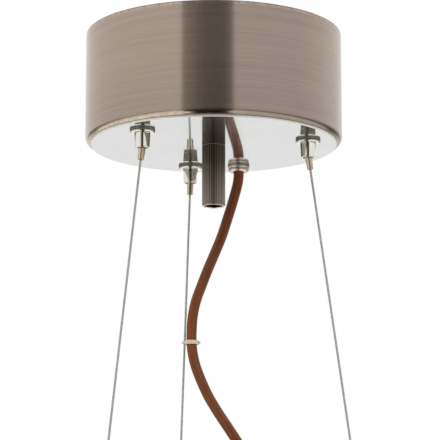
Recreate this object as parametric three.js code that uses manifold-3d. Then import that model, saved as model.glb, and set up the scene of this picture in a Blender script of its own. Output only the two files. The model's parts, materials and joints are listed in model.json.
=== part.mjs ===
// Pendant lamp, ceiling end: a drawn metal canopy with a mirror face plate,
// three wire grippers with their suspension wires, a fluted tube nut on the
// threaded tube of the ceiling bracket, and the supply cord.
// Millimetres, +Z up. The ceiling is the plane z = 0, the threaded tube stands on the Z axis,
// and -Y is the side that faces the viewer.
import * as THREE from "three";
import { mergeVertices } from "three/addons/utils/BufferGeometryUtils.js";
import Module from "manifold-3d";

const wasm = await Module();
wasm.setup();

// Canopy
const canopyRadius = 75;
const canopyDrop = 66; // from the ceiling to the underside of the face plate
const canopyWall = 1;
const canopyCorner = 3; // outer radius of the drawn lower edge
const facePlateRadius = 72;
const facePlateThickness = 1.2;
const facePlateChamfer = 0.25;

// Clearances
const seatGap = 0.05; // between flat faces that lie on each other
const holeClearance = 0.3; // radial, round a stem in a hole
const threadClearance = 0.12; // radial, between a nut and its thread
const wireClearance = 0.25; // radial, round a suspension wire
const edgeBreak = 0.3; // chamfer on the edges of small turned pieces
const drillMargin = 1; // that a drill stands past the face plate

// Ceiling bracket and its threaded tube
const bracketLength = 128;
const bracketWidth = 26;
const bracketThickness = 2.5;
const bracketSlotLength = 22;
const bracketSlotWidth = 5.4;
const bracketSlotCentre = 42; // distance of a slot's middle from the axis
const tubeRadius = 4.9; // M10 thread, over the crests
const tubeBoreRadius = 3.5;
const tubeEngagement = 25; // how far the tube reaches below the face plate
const bracketNutFlats = 14;
const bracketNutHeight = 4;

// Fluted tube nut
const nutRadius = 6.8;
const nutLength = 36;
const nutBoreClearance = 0.15;
const nutChamfer = 0.5;
const fluteCount = 40;
const fluteDepth = 0.3;

// Suspension wires and grippers
const gripperNames = ["left", "far", "right"];
const gripperAngles = [224.5, 104.5, 344.5]; // degrees round the Z axis from +X
const gripperCircleRadius = 56.5;
const wireRadius = 0.7;
const wireLean = 0.138; // outward run of a wire for each unit of fall
const wireTailRise = 14; // height of a wire's cut end above the gripper's top
const wireTailStraight = 3; // above the gripper's top, before the tail bends over
const wireTailBend = 4; // how far the cut end lies to the side
const wireSwingOut = 6.5; // degrees that a wire can lean further out
const wireEndFall = 192; // below the face plate, where a wire's end fitting stops
const stemRadius = 3.9; // M8 thread
const stemRise = 17.2; // above the underside of the face plate
const flangeRadius = 7.25;
const flangeThickness = 2;
const flangeChamfer = 0.5;
const barrelRadius = 4.55;
const barrelTipRadius = 4.3;
const barrelFall = 10.5; // lower end of the barrel, below the face plate
const barrelChamfer = 0.5;
const mouthRadius = 3;
const mouthLip = 1.3;
const ballRadius = 3.1;
const ballClearance = 0.35;
const ballHalfHeight = 1.3;
const pivotFall = 8; // centre of the nozzle's ball, below the face plate
const nozzleRadius = 2.15;
const nozzleReach = 9.6; // below the ball's centre
const nozzleChamfer = 0.35;
const pressTravel = 0.8; // of the nozzle and the jaws, towards the ceiling
const spigotRadius = 1.6;
const spigotReach = 1.9; // above the ball's centre
const wireTopSetback = 0.4; // from the spigot's end to the wire's end
const funnelRadius = 1.45;
const funnelDepth = 1.5;
const jawClearance = 0.17;
const jawLowRadius = 1.9;
const jawTopRadius = 3;
const jawHeight = 7;
const jawGap = 0.7; // from the nozzle's spigot to the jaws, with the nozzle upright
const jawSlitCount = 3;
const jawSlitWidth = 0.5;
const jawSlitShare = 0.7;
const throatClearance = 0.5; // radial, round the jaws' narrow end
const throatStep = 0.1;
const plugThickness = 2;
const plugRecess = 0.2;
const springWireRadius = 0.3;
const springMeanRadius = 2.55;
const springCurls = 6;
const springEndGap = 0.3;
const gripperNutFlats = 13;
const gripperNutHeight = 4.4;
const fittingRadius = 1.9;
const fittingLength = 11;
const fittingFootRadius = 4;
const fittingFootThickness = 2.5;
const fittingSocketDepth = 7;
const fittingTaper = 1;

// Cord gland
const glandAngle = 74; // degrees round the Z axis from +X
const glandCircleRadius = 55;
const glandStemRadius = 5;
const glandStemRise = 14;
const glandFlangeRadius = 6.6;
const glandFlangeThickness = 1.8;
const glandNeckRadius = 4.6;
const glandNeckFall = 3.4;
const glandCapRadius = 6.3;
const glandCapFall = 4.2;
const glandCapEdge = 0.8;
const glandNutFlats = 14;
const glandNutHeight = 3.5;
const glandSealDepth = 5;
const glandSealWall = 0.9;
const glandSealClearance = 0.2;
const glandSealProud = 0.6; // above the gland body's top

// Supply cord
const cordRadius = 3.1;
const cordClearance = 0.3;
const cordSheathTop = -44; // height of the sheath's end inside the canopy
const coreRadius = 1.05;
const coreSpread = 1.45; // distance of a core from the cord's centre
const cordGap = 0.3; // between two lengths of cord that meet
const coilCentre = new THREE.Vector3(-14, 64, -288);
const coilInnerRadius = 23;
const coilTurnsPerLayer = 3;
const coilPitch = 6.7; // from one turn to the next, across and between layers
const coilClimb = 0.5; // share of a turn in which the cord changes layer
const coilStepsPerTurn = 24;
const coilSides = 6;
const tieClearance = 0.4;
const tieThickness = 1;
const tieWidth = 5;
const strippedLength = 14;
const strippedRootLength = 1.2; // stub of filler below the sheath's cut end
const strippedRootInset = 0.4;
const coreSplay = 7; // degrees
const ferruleCollarLength = 3;
const ferruleCollarRadius = 1.4;
const ferrulePinLength = 7;
const ferrulePinRadius = 0.7;

// Cord clip on the far wire
const clipFall = 106.4; // middle of the clip, below the face plate
const clipThickness = 2.4;
const clipWall = 1;
const clipWireWall = 1.55;
const clipTabLength = 1.2;
const clipTabWidth = 2.4;
const clipSlit = 0.5;
const clipCord = new THREE.Vector2(-13.3, 67.6); // where the cord runs through the clip

// Wiring inside the canopy
const blockCentre = new THREE.Vector2(30, 18);
const blockSize = new THREE.Vector3(28, 16, 13);
const blockStep = 2.5;
const poleCount = 3;
const polePitch = 8;
const poleBoreRadius = 1.7;
const terminalScrewRadius = 1.5;
const terminalScrewLength = 4;
const terminalSlotDepth = 0.7;
const terminalSlotWidth = 0.5;
const blockScrewRadius = 1; // M2 fixing screws, between the poles
const blockScrewHeadRadius = 2;
const blockScrewHeadHeight = 1.3;
const blockScrewEndGap = 0.1; // from a screw's end to the underside of the canopy's floor
const studRadius = 2;
const earthStud = new THREE.Vector2(-20, 28);
const earthStudHeight = 12;
const earthCollarRadius = 3.4; // the stud's collar, which carries the lug
const studNutFlats = 7;
const studNutHeight = 3.2;
const lugAngle = 28; // degrees round the Z axis from +X, where the lug's barrel points
const lugRadius = 4.2;
const lugThickness = 0.8;
const lugBarrelRadius = 2;
const lugBarrelLength = 7;
const lugNeckLength = 2; // from the eye to the barrel
const coreRise = 3.5; // straight length of a core above the sheath's end
const coreApproach = 6; // straight length of a core in front of its pole
const coreReach = 1; // how far short of the pole's middle a core ends
const liveArch = 3; // height of the live core's arch above the sheath's end
const neutralArch = -1;
const earthArch = 7;

// Levels that follow from the sizes above
const faceZ = -canopyDrop;
const plateTopZ = faceZ + facePlateThickness;
const cupUnderZ = plateTopZ + seatGap;
const floorZ = cupUnderZ + canopyWall;
const floorSeatZ = floorZ + seatGap; // where the pieces that stand on the canopy's floor begin
const stemHoleRadius = stemRadius + holeClearance;
const glandHoleRadius = glandStemRadius + holeClearance;
const tubeHoleRadius = tubeRadius + 2 * holeClearance;
const radians = (degrees) => (degrees * Math.PI) / 180;
const polar = (radius, degrees) =>
  new THREE.Vector2(radius * Math.cos(radians(degrees)), radius * Math.sin(radians(degrees)));
const gripperPlaces = gripperAngles.map((angle) => polar(gripperCircleRadius, angle));
const glandPlace = polar(glandCircleRadius, glandAngle);
const leanAngle = Math.atan(wireLean);

// A body of revolution round the Z axis. The profile is a closed loop of [radius, height]
// points, or runs from the axis to the axis.
function turned(profile, sides = 24) {
  let points = profile.map(([radius, height]) => new THREE.Vector2(radius, height));
  if (THREE.ShapeUtils.area(points) < 0) points = points.reverse();
  const onAxis = points.findIndex((p, i) => p.x === 0 && points[(i + 1) % points.length].x === 0);
  if (onAxis >= 0) points = [...points.slice(onAxis + 1), ...points.slice(0, onAxis + 1)];
  else points.push(points[0].clone());
  return new THREE.LatheGeometry(points, sides).rotateX(Math.PI / 2);
}

// Points of an arc from one angle to another, for a turned profile.
function arc(centreRadius, centreHeight, radius, from, to, steps) {
  return Array.from({ length: steps + 1 }, (_, i) => {
    const angle = radians(from + ((to - from) * i) / steps);
    return [centreRadius + radius * Math.cos(angle), centreHeight + radius * Math.sin(angle)];
  });
}

// A flat outline pulled up from height z by a thickness.
function extruded(shape, z, thickness, curveSegments = 12) {
  const options = { depth: thickness, bevelEnabled: false, curveSegments };
  return new THREE.ExtrudeGeometry(shape, options).translate(0, 0, z);
}

function circle(radius, sides, x = 0, y = 0) {
  const points = Array.from({ length: sides }, (_, i) => {
    const angle = (2 * Math.PI * i) / sides;
    return new THREE.Vector2(x + radius * Math.cos(angle), y + radius * Math.sin(angle));
  });
  return new THREE.Shape(points);
}

function cylinder(radius, z, height, x = 0, y = 0, sides = 20) {
  return turned([[0, z], [radius, z], [radius, z + height], [0, z + height]], sides).translate(x, y, 0);
}

// A round bar or tube that follows a curve.
function rod(curve, radius, sides, steps) {
  const options = { steps, bevelEnabled: false, extrudePath: curve };
  return new THREE.ExtrudeGeometry(circle(radius, sides), options);
}

function smoothPath(points) {
  return new THREE.CatmullRomCurve3(points, false, "centripetal");
}

// A hexagonal nut with a round bore.
function hexNut(flats, height, boreRadius, z) {
  const corner = flats / Math.sqrt(3);
  const shape = circle(corner, 6);
  shape.holes.push(circle(boreRadius, 16));
  const chamfer = (corner - flats / 2) * 0.6;
  const envelope = turned([
    [0, z],
    [corner - chamfer, z],
    [corner + 0.01, z + chamfer],
    [corner + 0.01, z + height - chamfer],
    [corner - chamfer, z + height],
    [0, z + height],
  ], 12);
  return shaped(solid(extruded(shape, z, height)).intersect(solid(envelope)));
}

// One unbroken tube through a list of points, with a fixed number of sides. The section turns
// with the direction of the points and stays square to them.
function woundTube(points, radius, sides, axis) {
  const vertices = [];
  const faces = [];
  points.forEach((point, i) => {
    const before = points[Math.max(i - 1, 0)];
    const after = points[Math.min(i + 1, points.length - 1)];
    const tangent = after.clone().sub(before).normalize();
    const across = tangent.clone().cross(axis).normalize();
    const along = tangent.clone().cross(across);
    for (let side = 0; side < sides; side++) {
      const angle = (2 * Math.PI * side) / sides;
      const corner = point
        .clone()
        .addScaledVector(across, radius * Math.cos(angle))
        .addScaledVector(along, radius * Math.sin(angle));
      vertices.push(corner.x, corner.y, corner.z);
    }
  });
  for (let ring = 0; ring < points.length - 1; ring++) {
    for (let side = 0; side < sides; side++) {
      const a = ring * sides + side;
      const b = ring * sides + ((side + 1) % sides);
      faces.push(a, b, a + sides, b, b + sides, a + sides);
    }
  }
  const last = (points.length - 1) * sides;
  for (let side = 1; side < sides - 1; side++) {
    faces.push(0, side + 1, side);
    faces.push(last, last + side, last + side + 1);
  }
  const geometry = new THREE.BufferGeometry();
  geometry.setAttribute("position", new THREE.Float32BufferAttribute(vertices, 3));
  geometry.setIndex(faces);
  return geometry;
}

// The least distance between two stretches of a wound tube that aren't neighbours along it,
// less its thickness.
function leastGap(points, radius, skip) {
  let least = Infinity;
  points.forEach((point, i) => {
    for (let j = i + skip; j < points.length; j++) {
      least = Math.min(least, point.distanceTo(points[j]));
    }
  });
  return least - 2 * radius;
}

// Cuts and joins
function solid(geometry) {
  const bare = geometry.clone();
  bare.deleteAttribute("normal");
  bare.deleteAttribute("uv");
  const merged = mergeVertices(bare, 1e-4);
  return new wasm.Manifold(
    new wasm.Mesh({
      numProp: 3,
      vertProperties: merged.attributes.position.array,
      triVerts: new Uint32Array(merged.index.array),
    }),
  );
}

function shaped(manifold) {
  const mesh = manifold.getMesh();
  const geometry = new THREE.BufferGeometry();
  geometry.setAttribute("position", new THREE.BufferAttribute(mesh.vertProperties, 3));
  geometry.setIndex(new THREE.BufferAttribute(mesh.triVerts, 1));
  return geometry;
}

function cut(geometry, ...tools) {
  return shaped(tools.reduce((left, tool) => left.subtract(solid(tool)), solid(geometry)));
}

function joined(...geometries) {
  const [first, ...rest] = geometries.map(solid);
  return shaped(rest.reduce((sum, piece) => sum.add(piece), first));
}

// Finishes
const finish = (color, roughness, metalness) => ({ color, roughness, metalness });
const brushedBronze = finish(0xa08f80, 0.35, 1);
const mirrorSteel = finish(0xe4e4e2, 0.03, 1);
const chrome = finish(0xd8d8d2, 0.08, 1);
const paleBrass = finish(0xc8b496, 0.2, 1);
const darkFluted = finish(0x625a52, 0.4, 1);
const zincSteel = finish(0xa8abad, 0.45, 1);
const wireSteel = finish(0xa0a29c, 0.3, 1);
const springSteel = finish(0x8d9093, 0.35, 1);
const brass = finish(0xb59a5b, 0.35, 1);
const brownSheath = finish(0x7a4a2e, 0.5, 0);
const paleClip = finish(0xdecdc2, 0.4, 0);
const blackRubber = finish(0x202020, 0.8, 0);
const whiteNylon = finish(0xe8e6df, 0.5, 0);
const brownCore = finish(0x5d3a22, 0.5, 0);
const blueCore = finish(0x2d5fa8, 0.5, 0);
const greenYellowCore = finish(0x9bb52e, 0.5, 0);

const lamp = new THREE.Group();

function add(name, geometry, look, parent = lamp) {
  const mesh = new THREE.Mesh(geometry, new THREE.MeshStandardMaterial(look));
  mesh.name = name;
  parent.add(mesh);
  return mesh;
}

// Ceiling bracket: a flat strip with round ends and two screw slots. The threaded tube is
// welded under its middle.
function slotOutline(length, width, x) {
  const straight = (length - width) / 2;
  const outline = new THREE.Shape();
  outline.absarc(x + straight, 0, width / 2, -Math.PI / 2, Math.PI / 2, false);
  outline.absarc(x - straight, 0, width / 2, Math.PI / 2, (3 * Math.PI) / 2, false);
  return outline;
}

const strip = slotOutline(bracketLength, bracketWidth, 0);
for (const side of [-1, 1]) {
  strip.holes.push(slotOutline(bracketSlotLength, bracketSlotWidth, side * bracketSlotCentre));
}
add("ceiling_bracket", extruded(strip, -bracketThickness, bracketThickness, 8), zincSteel);

const tubeTopZ = -bracketThickness - seatGap;
const tubeEndZ = faceZ - tubeEngagement;
const tubeChamfer = tubeRadius * 0.1;
add(
  "threaded_tube",
  turned([
    [tubeBoreRadius, tubeTopZ],
    [tubeRadius, tubeTopZ],
    [tubeRadius, tubeEndZ + tubeChamfer],
    [tubeRadius - tubeChamfer, tubeEndZ],
    [tubeBoreRadius, tubeEndZ],
  ]),
  zincSteel,
);
const bracketNutZ = tubeTopZ - bracketNutHeight;
const bracketNutBore = tubeRadius + threadClearance;
add("bracket_nut", hexNut(bracketNutFlats, bracketNutHeight, bracketNutBore, bracketNutZ), zincSteel);

// Canopy cup, drawn in one piece with a flat bottom, and the mirror plate clamped under it by
// the grippers, the gland and the tube nut.
const cornerInside = canopyCorner - canopyWall;
const cupBlank = turned(
  [
    [0, cupUnderZ],
    ...arc(canopyRadius - canopyCorner, cupUnderZ + canopyCorner, canopyCorner, -90, 0, 5),
    [canopyRadius, 0],
    [canopyRadius - canopyWall, 0],
    ...arc(canopyRadius - canopyCorner, cupUnderZ + canopyCorner, cornerInside, 0, -90, 2),
    [0, floorZ],
  ],
  72,
);
const drillZ = faceZ - drillMargin;
const drillHeight = canopyDrop;
const drills = [
  cylinder(tubeHoleRadius, drillZ, drillHeight),
  cylinder(glandHoleRadius, drillZ, drillHeight, glandPlace.x, glandPlace.y),
  ...gripperPlaces.map((p) => cylinder(stemHoleRadius, drillZ, drillHeight, p.x, p.y)),
];
const blockScrewPlaces = Array.from({ length: poleCount - 1 }, (_, i) => {
  return new THREE.Vector2(poleX(i) + polePitch / 2, blockCentre.y);
});
const blockDrills = blockScrewPlaces.map((p) => {
  return cylinder(blockScrewRadius + threadClearance, drillZ, drillHeight, p.x, p.y, 12);
});
add("canopy_cup", cut(cupBlank, ...drills, ...blockDrills), brushedBronze);

const plateBlank = turned(
  [
    [0, faceZ],
    [facePlateRadius - facePlateChamfer, faceZ],
    [facePlateRadius, faceZ + facePlateChamfer],
    [facePlateRadius, plateTopZ],
    [0, plateTopZ],
  ],
  72,
);
add("face_plate", cut(plateBlank, ...drills), mirrorSteel);

// Fluted tube nut: a long sleeve with straight flutes. Screwed off the threaded tube, it lets
// the canopy down.
function fluteOutline() {
  const points = [];
  for (let i = 0; i < fluteCount; i++) {
    const shares = [
      [0, nutRadius],
      [0.4, nutRadius],
      [0.6, nutRadius - fluteDepth],
      [0.8, nutRadius - fluteDepth],
    ];
    for (const [share, radius] of shares) {
      const angle = (2 * Math.PI * (i + share)) / fluteCount;
      points.push(new THREE.Vector2(radius * Math.cos(angle), radius * Math.sin(angle)));
    }
  }
  return new THREE.Shape(points);
}

const nutTopZ = faceZ - seatGap;
const nutEndZ = nutTopZ - nutLength;
const fluted = fluteOutline();
fluted.holes.push(circle(tubeRadius + nutBoreClearance, 24));
const nutEnvelope = turned([
  [0, nutEndZ],
  [nutRadius - nutChamfer, nutEndZ],
  [nutRadius + 0.01, nutEndZ + nutChamfer],
  [nutRadius + 0.01, nutTopZ],
  [0, nutTopZ],
], 40);
const flutedNut = solid(extruded(fluted, nutEndZ, nutLength)).intersect(solid(nutEnvelope));
add("fluted_nut", shaped(flutedNut), darkFluted);

// Wire gripper, in its own frame: the Z axis is the stem's axis and z = 0 the underside of the
// face plate. A spring holds split jaws down in a cone round the wire. The nozzle swivels on a
// ball in the mouth with the wire, and pressed up it lifts the jaws and frees the wire.
const spigotTopFall = pivotFall - spigotReach;
const jawBottomZ = -(spigotTopFall - jawGap);
const jawTopZ = jawBottomZ + jawHeight;
const plugTopZ = stemRise - plugRecess;
const plugBottomZ = plugTopZ - plugThickness;
const wireHoleRadius = wireRadius + wireClearance;
const chamberRadius = ballRadius + ballClearance;
const ballEdgeRadius = Math.sqrt(ballRadius ** 2 - ballHalfHeight ** 2);
const pressedTop = ballHalfHeight + pressTravel;
const greatestLean = leanAngle + radians(wireSwingOut);
const chamberTopZ = -pivotFall + pressedTop + ballClearance / 2;
const throatZ = -pivotFall + pressedTop * Math.cos(greatestLean) + ballEdgeRadius * Math.sin(greatestLean);
const throatRadius = jawLowRadius + throatClearance;
const coneTopRadius = jawTopRadius + jawClearance;

function gripperBody() {
  return turned([
    [coneTopRadius, stemRise],
    [coneTopRadius, jawTopZ],
    [jawLowRadius + jawClearance, throatZ + throatStep],
    [throatRadius, throatZ],
    [chamberRadius, chamberTopZ],
    [chamberRadius, -(barrelFall - mouthLip)],
    [mouthRadius, -(barrelFall - mouthLip)],
    [mouthRadius, -barrelFall],
    [barrelTipRadius - barrelChamfer, -barrelFall],
    [barrelTipRadius, -(barrelFall - barrelChamfer)],
    [barrelRadius, -(seatGap + flangeThickness)],
    [flangeRadius - flangeChamfer, -(seatGap + flangeThickness)],
    [flangeRadius, -(seatGap + flangeThickness - flangeChamfer)],
    [flangeRadius, -(seatGap + edgeBreak)],
    [flangeRadius - edgeBreak, -seatGap],
    [stemRadius, -seatGap],
    [stemRadius, stemRise - edgeBreak],
    [stemRadius - edgeBreak, stemRise],
  ], 20);
}

// Split jaws: a cone with a wire hole and slits from its narrow end.
function gripperJaws() {
  const cone = turned([
    [wireHoleRadius, jawBottomZ],
    [jawLowRadius, jawBottomZ],
    [jawTopRadius, jawTopZ],
    [wireHoleRadius, jawTopZ],
  ], 18);
  const slitTop = jawBottomZ + jawHeight * jawSlitShare;
  const slits = Array.from({ length: jawSlitCount }, (_, i) => {
    const slit = new THREE.BoxGeometry(2 * jawTopRadius, jawSlitWidth, 2 * (slitTop - jawBottomZ));
    slit.translate(jawTopRadius, 0, jawBottomZ);
    return slit.rotateZ((2 * Math.PI * i) / jawSlitCount);
  });
  return cut(cone, ...slits);
}

function gripperSpring() {
  const low = jawTopZ + springEndGap + springWireRadius;
  const high = plugBottomZ - springEndGap - springWireRadius;
  const steps = springCurls * 8;
  const points = Array.from({ length: steps + 1 }, (_, i) => {
    const angle = (2 * Math.PI * i) / 8;
    const x = springMeanRadius * Math.cos(angle);
    const y = springMeanRadius * Math.sin(angle);
    return new THREE.Vector3(x, y, low + ((high - low) * i) / steps);
  });
  return woundTube(points, springWireRadius, 5, new THREE.Vector3(0, 0, 1));
}

function gripperPlug() {
  return turned([
    [wireHoleRadius, plugBottomZ],
    [jawTopRadius, plugBottomZ],
    [jawTopRadius, plugTopZ],
    [wireHoleRadius, plugTopZ],
  ], 18);
}

// The nozzle's own frame has the ball's centre at its origin.
function gripperNozzle() {
  const ballAngle = (Math.asin(ballHalfHeight / ballRadius) * 180) / Math.PI;
  const ball = arc(0, 0, ballRadius, -ballAngle, ballAngle, 4);
  return turned([
    [wireHoleRadius, -nozzleReach],
    [nozzleRadius - nozzleChamfer, -nozzleReach],
    [nozzleRadius, -nozzleReach + nozzleChamfer],
    [nozzleRadius, -ballHalfHeight - (ballEdgeRadius - nozzleRadius) / 2],
    ...ball,
    [spigotRadius, ballHalfHeight],
    [spigotRadius, spigotReach],
    [funnelRadius, spigotReach],
    [wireHoleRadius, spigotReach - funnelDepth],
  ], 16);
}

// A wire below its gripper, in the nozzle's frame, straight down, and its end fitting.
const wireEndDepth = (wireEndFall - pivotFall) / Math.cos(leanAngle);
const wireTopZ = spigotReach - wireTopSetback;
const fittingTopDepth = wireEndDepth - fittingLength;
const wireStopDepth = fittingTopDepth + fittingSocketDepth;

function suspensionWire() {
  return cylinder(wireRadius, -wireStopDepth, wireTopZ + wireStopDepth, 0, 0, 10);
}

// Swaged end fitting with a flat foot, where a lamp body is fastened.
function wireEndFitting() {
  const footTop = -wireEndDepth + fittingFootThickness;
  const socketEnd = -(wireStopDepth + seatGap);
  return turned([
    [0, -wireEndDepth],
    [fittingFootRadius - edgeBreak, -wireEndDepth],
    [fittingFootRadius, -wireEndDepth + edgeBreak],
    [fittingFootRadius, footTop],
    [fittingRadius, footTop],
    [fittingRadius, -fittingTopDepth - fittingTaper],
    [wireHoleRadius + edgeBreak, -fittingTopDepth],
    [wireHoleRadius, -fittingTopDepth],
    [wireHoleRadius, socketEnd],
    [0, socketEnd],
  ], 20);
}

// The cut end of a wire above its jaws, inside the canopy, bent a little off the axis.
function wireTail() {
  const top = stemRise + wireTailRise;
  return rod(
    smoothPath([
      new THREE.Vector3(0, 0, jawBottomZ),
      new THREE.Vector3(0, 0, stemRise * 0.5),
      new THREE.Vector3(0, 0, stemRise + wireTailStraight),
      new THREE.Vector3(-wireTailBend * 0.3, 0, stemRise + wireTailRise * 0.6),
      new THREE.Vector3(-wireTailBend, 0, top),
    ]),
    wireRadius,
    8,
    9,
  );
}

const gripperNutZ = floorZ - faceZ + seatGap;
const gripperNutBore = stemRadius + threadClearance;
const gripperNut = hexNut(gripperNutFlats, gripperNutHeight, gripperNutBore, gripperNutZ);
gripperNames.forEach((name, i) => {
  const place = gripperPlaces[i];
  const upright = new THREE.Group();
  upright.position.set(place.x, place.y, faceZ);
  upright.rotation.z = radians(gripperAngles[i]);
  lamp.add(upright);
  add("gripper_body_" + name, gripperBody(), chrome, upright);
  add("gripper_jaws_" + name, gripperJaws(), brass, upright);
  add("gripper_spring_" + name, gripperSpring(), springSteel, upright);
  add("gripper_plug_" + name, gripperPlug(), zincSteel, upright);
  add("gripper_nut_" + name, gripperNut, zincSteel, upright);
  add("wire_tail_" + name, wireTail(), wireSteel, upright);

  const leaning = new THREE.Group();
  leaning.position.z = -pivotFall;
  leaning.rotation.y = -leanAngle;
  upright.add(leaning);
  add("gripper_nozzle_" + name, gripperNozzle(), paleBrass, leaning);
  add("wire_" + name, suspensionWire(), wireSteel, leaning);
  add("wire_fitting_" + name, wireEndFitting(), chrome, leaning);
});

// Cord gland: a threaded body through both plates, with a nut inside and a domed cap below
// that closes on the cord.
const cordHoleRadius = cordRadius + cordClearance;
const glandGroup = new THREE.Group();
glandGroup.position.set(glandPlace.x, glandPlace.y, faceZ);
lamp.add(glandGroup);
const flangeBottomZ = -(seatGap + glandFlangeThickness);
const sealRadius = cordHoleRadius + glandSealWall;
add(
  "gland_body",
  turned([
    [cordHoleRadius, -glandNeckFall],
    [glandNeckRadius, -glandNeckFall],
    [glandNeckRadius, flangeBottomZ],
    [glandFlangeRadius - edgeBreak, flangeBottomZ],
    [glandFlangeRadius, flangeBottomZ + edgeBreak],
    [glandFlangeRadius, -seatGap - edgeBreak],
    [glandFlangeRadius - edgeBreak, -seatGap],
    [glandStemRadius, -seatGap],
    [glandStemRadius, glandStemRise],
    [sealRadius + glandSealClearance, glandStemRise],
    [sealRadius + glandSealClearance, glandStemRise - glandSealDepth],
    [cordHoleRadius, glandStemRise - glandSealDepth],
  ], 20),
  chrome,
  glandGroup,
);
const capTopZ = flangeBottomZ - seatGap;
add(
  "gland_cap",
  turned([
    [cordHoleRadius, -glandCapFall],
    ...arc(glandCapRadius - glandCapEdge, -glandCapFall + glandCapEdge, glandCapEdge, -90, 0, 3),
    [glandCapRadius, capTopZ - edgeBreak],
    [glandCapRadius - edgeBreak, capTopZ],
    [glandNeckRadius + threadClearance, capTopZ],
    [glandNeckRadius + threadClearance, -glandNeckFall - seatGap],
    [cordHoleRadius, -glandNeckFall - seatGap],
  ], 20),
  chrome,
  glandGroup,
);
add(
  "gland_seal",
  turned([
    [cordHoleRadius, glandStemRise - glandSealDepth + seatGap],
    [sealRadius, glandStemRise - glandSealDepth + seatGap],
    [sealRadius, glandStemRise + glandSealProud],
    [cordHoleRadius, glandStemRise + glandSealProud],
  ], 20),
  blackRubber,
  glandGroup,
);
const glandNutZ = floorZ - faceZ + seatGap;
const glandNutBore = glandStemRadius + threadClearance;
add("gland_nut", hexNut(glandNutFlats, glandNutHeight, glandNutBore, glandNutZ), zincSteel, glandGroup);

// Supply cord inside the canopy, up through the gland, and its three cores.
const cordMeetZ = faceZ - glandCapFall;
const innerCord = new THREE.LineCurve3(
  new THREE.Vector3(glandPlace.x, glandPlace.y, cordMeetZ),
  new THREE.Vector3(glandPlace.x, glandPlace.y, cordSheathTop),
);
add("cord_inner", rod(innerCord, cordRadius, 12, 1), brownSheath);

// Terminal block on the canopy's floor: a moulded strip with a wire tunnel and a screw tower
// for each pole, and a fixing screw between each two poles.
const blockTopZ = floorSeatZ + blockSize.z;
function terminalBlock() {
  const profile = new THREE.Shape();
  const half = blockSize.y / 2;
  profile.moveTo(-half, 0);
  profile.lineTo(half, 0);
  profile.lineTo(half, blockSize.z - blockStep);
  profile.lineTo(half / 2, blockSize.z - blockStep);
  profile.lineTo(half / 2, blockSize.z);
  profile.lineTo(-half / 2, blockSize.z);
  profile.lineTo(-half / 2, blockSize.z - blockStep);
  profile.lineTo(-half, blockSize.z - blockStep);
  profile.closePath();
  const bar = extruded(profile, 0, blockSize.x);
  bar.rotateX(Math.PI / 2).rotateZ(Math.PI / 2);
  bar.translate(blockCentre.x - blockSize.x / 2, blockCentre.y, floorSeatZ);
  const tools = [];
  for (let i = 0; i < poleCount; i++) {
    const x = poleX(i);
    const tunnel = cylinder(poleBoreRadius, -blockSize.y, 2 * blockSize.y, 0, 0, 12);
    tools.push(tunnel.rotateX(Math.PI / 2).translate(x, blockCentre.y, poleZ));
    const well = terminalScrewRadius + holeClearance;
    tools.push(cylinder(well, poleZ, blockSize.z, x, blockCentre.y, 12));
  }
  const screwHole = blockScrewRadius + threadClearance;
  for (const p of blockScrewPlaces) {
    tools.push(cylinder(screwHole, floorSeatZ - blockSize.z, 3 * blockSize.z, p.x, p.y, 12));
  }
  return cut(bar, ...tools);
}

const poleZ = floorSeatZ + blockSize.z * 0.4;
function poleX(i) {
  return blockCentre.x + (i - (poleCount - 1) / 2) * polePitch;
}
add("terminal_block", terminalBlock(), whiteNylon);

// A slotted screw in each pole of the block.
const terminalScrewZ = poleZ + coreRadius + holeClearance;
for (let i = 0; i < poleCount; i++) {
  const shank = cylinder(terminalScrewRadius, terminalScrewZ, terminalScrewLength, 0, 0, 12);
  const slot = new THREE.BoxGeometry(4 * terminalScrewRadius, terminalSlotWidth, 2 * terminalSlotDepth);
  slot.translate(0, 0, terminalScrewZ + terminalScrewLength);
  const screw = cut(shank, slot).translate(poleX(i), blockCentre.y, 0);
  add("terminal_screw_" + (i + 1), screw, brass);
}

// Round-headed fixing screws, through the block into the canopy's floor.
blockScrewPlaces.forEach((p, i) => {
  const headZ = blockTopZ + seatGap;
  const endZ = cupUnderZ + blockScrewEndGap;
  const blank = turned([
    [0, endZ],
    [blockScrewRadius, endZ],
    [blockScrewRadius, headZ],
    [blockScrewHeadRadius, headZ],
    [blockScrewHeadRadius, headZ + blockScrewHeadHeight / 2],
    [blockScrewHeadRadius / 2, headZ + blockScrewHeadHeight],
    [0, headZ + blockScrewHeadHeight],
  ], 12);
  const slot = new THREE.BoxGeometry(4 * blockScrewHeadRadius, terminalSlotWidth, 2 * terminalSlotDepth);
  slot.translate(0, 0, headZ + blockScrewHeadHeight);
  add("block_screw_" + (i + 1), cut(blank, slot).translate(p.x, p.y, 0), zincSteel);
});

// Earth stud on the canopy's floor, with a crimped lug under its nut.
const lugZ = floorZ + lugBarrelRadius - lugThickness / 2 + holeClearance;
const earthPin = turned([
  [0, floorSeatZ],
  [earthCollarRadius, floorSeatZ],
  [earthCollarRadius, lugZ - seatGap],
  [studRadius, lugZ - seatGap],
  [studRadius, floorZ + earthStudHeight],
  [0, floorZ + earthStudHeight],
], 16);
add("earth_stud", earthPin.translate(earthStud.x, earthStud.y, 0), brass);
const studHole = studRadius + threadClearance;
const lugBarrelStart = lugRadius + lugNeckLength;
const lugNeckEnd = lugBarrelStart + lugThickness;
const lugCoreZ = lugZ + lugThickness / 2;
const lugNeck = new THREE.BoxGeometry(lugBarrelRadius * 2, lugNeckEnd, lugThickness);
lugNeck.translate(0, lugNeckEnd / 2, lugCoreZ);
const lugBarrel = turned([
  [coreRadius + holeClearance, 0],
  [lugBarrelRadius, 0],
  [lugBarrelRadius, lugBarrelLength],
  [coreRadius + holeClearance, lugBarrelLength],
], 16);
lugBarrel.rotateX(-Math.PI / 2).translate(0, lugBarrelStart, lugCoreZ);
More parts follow.
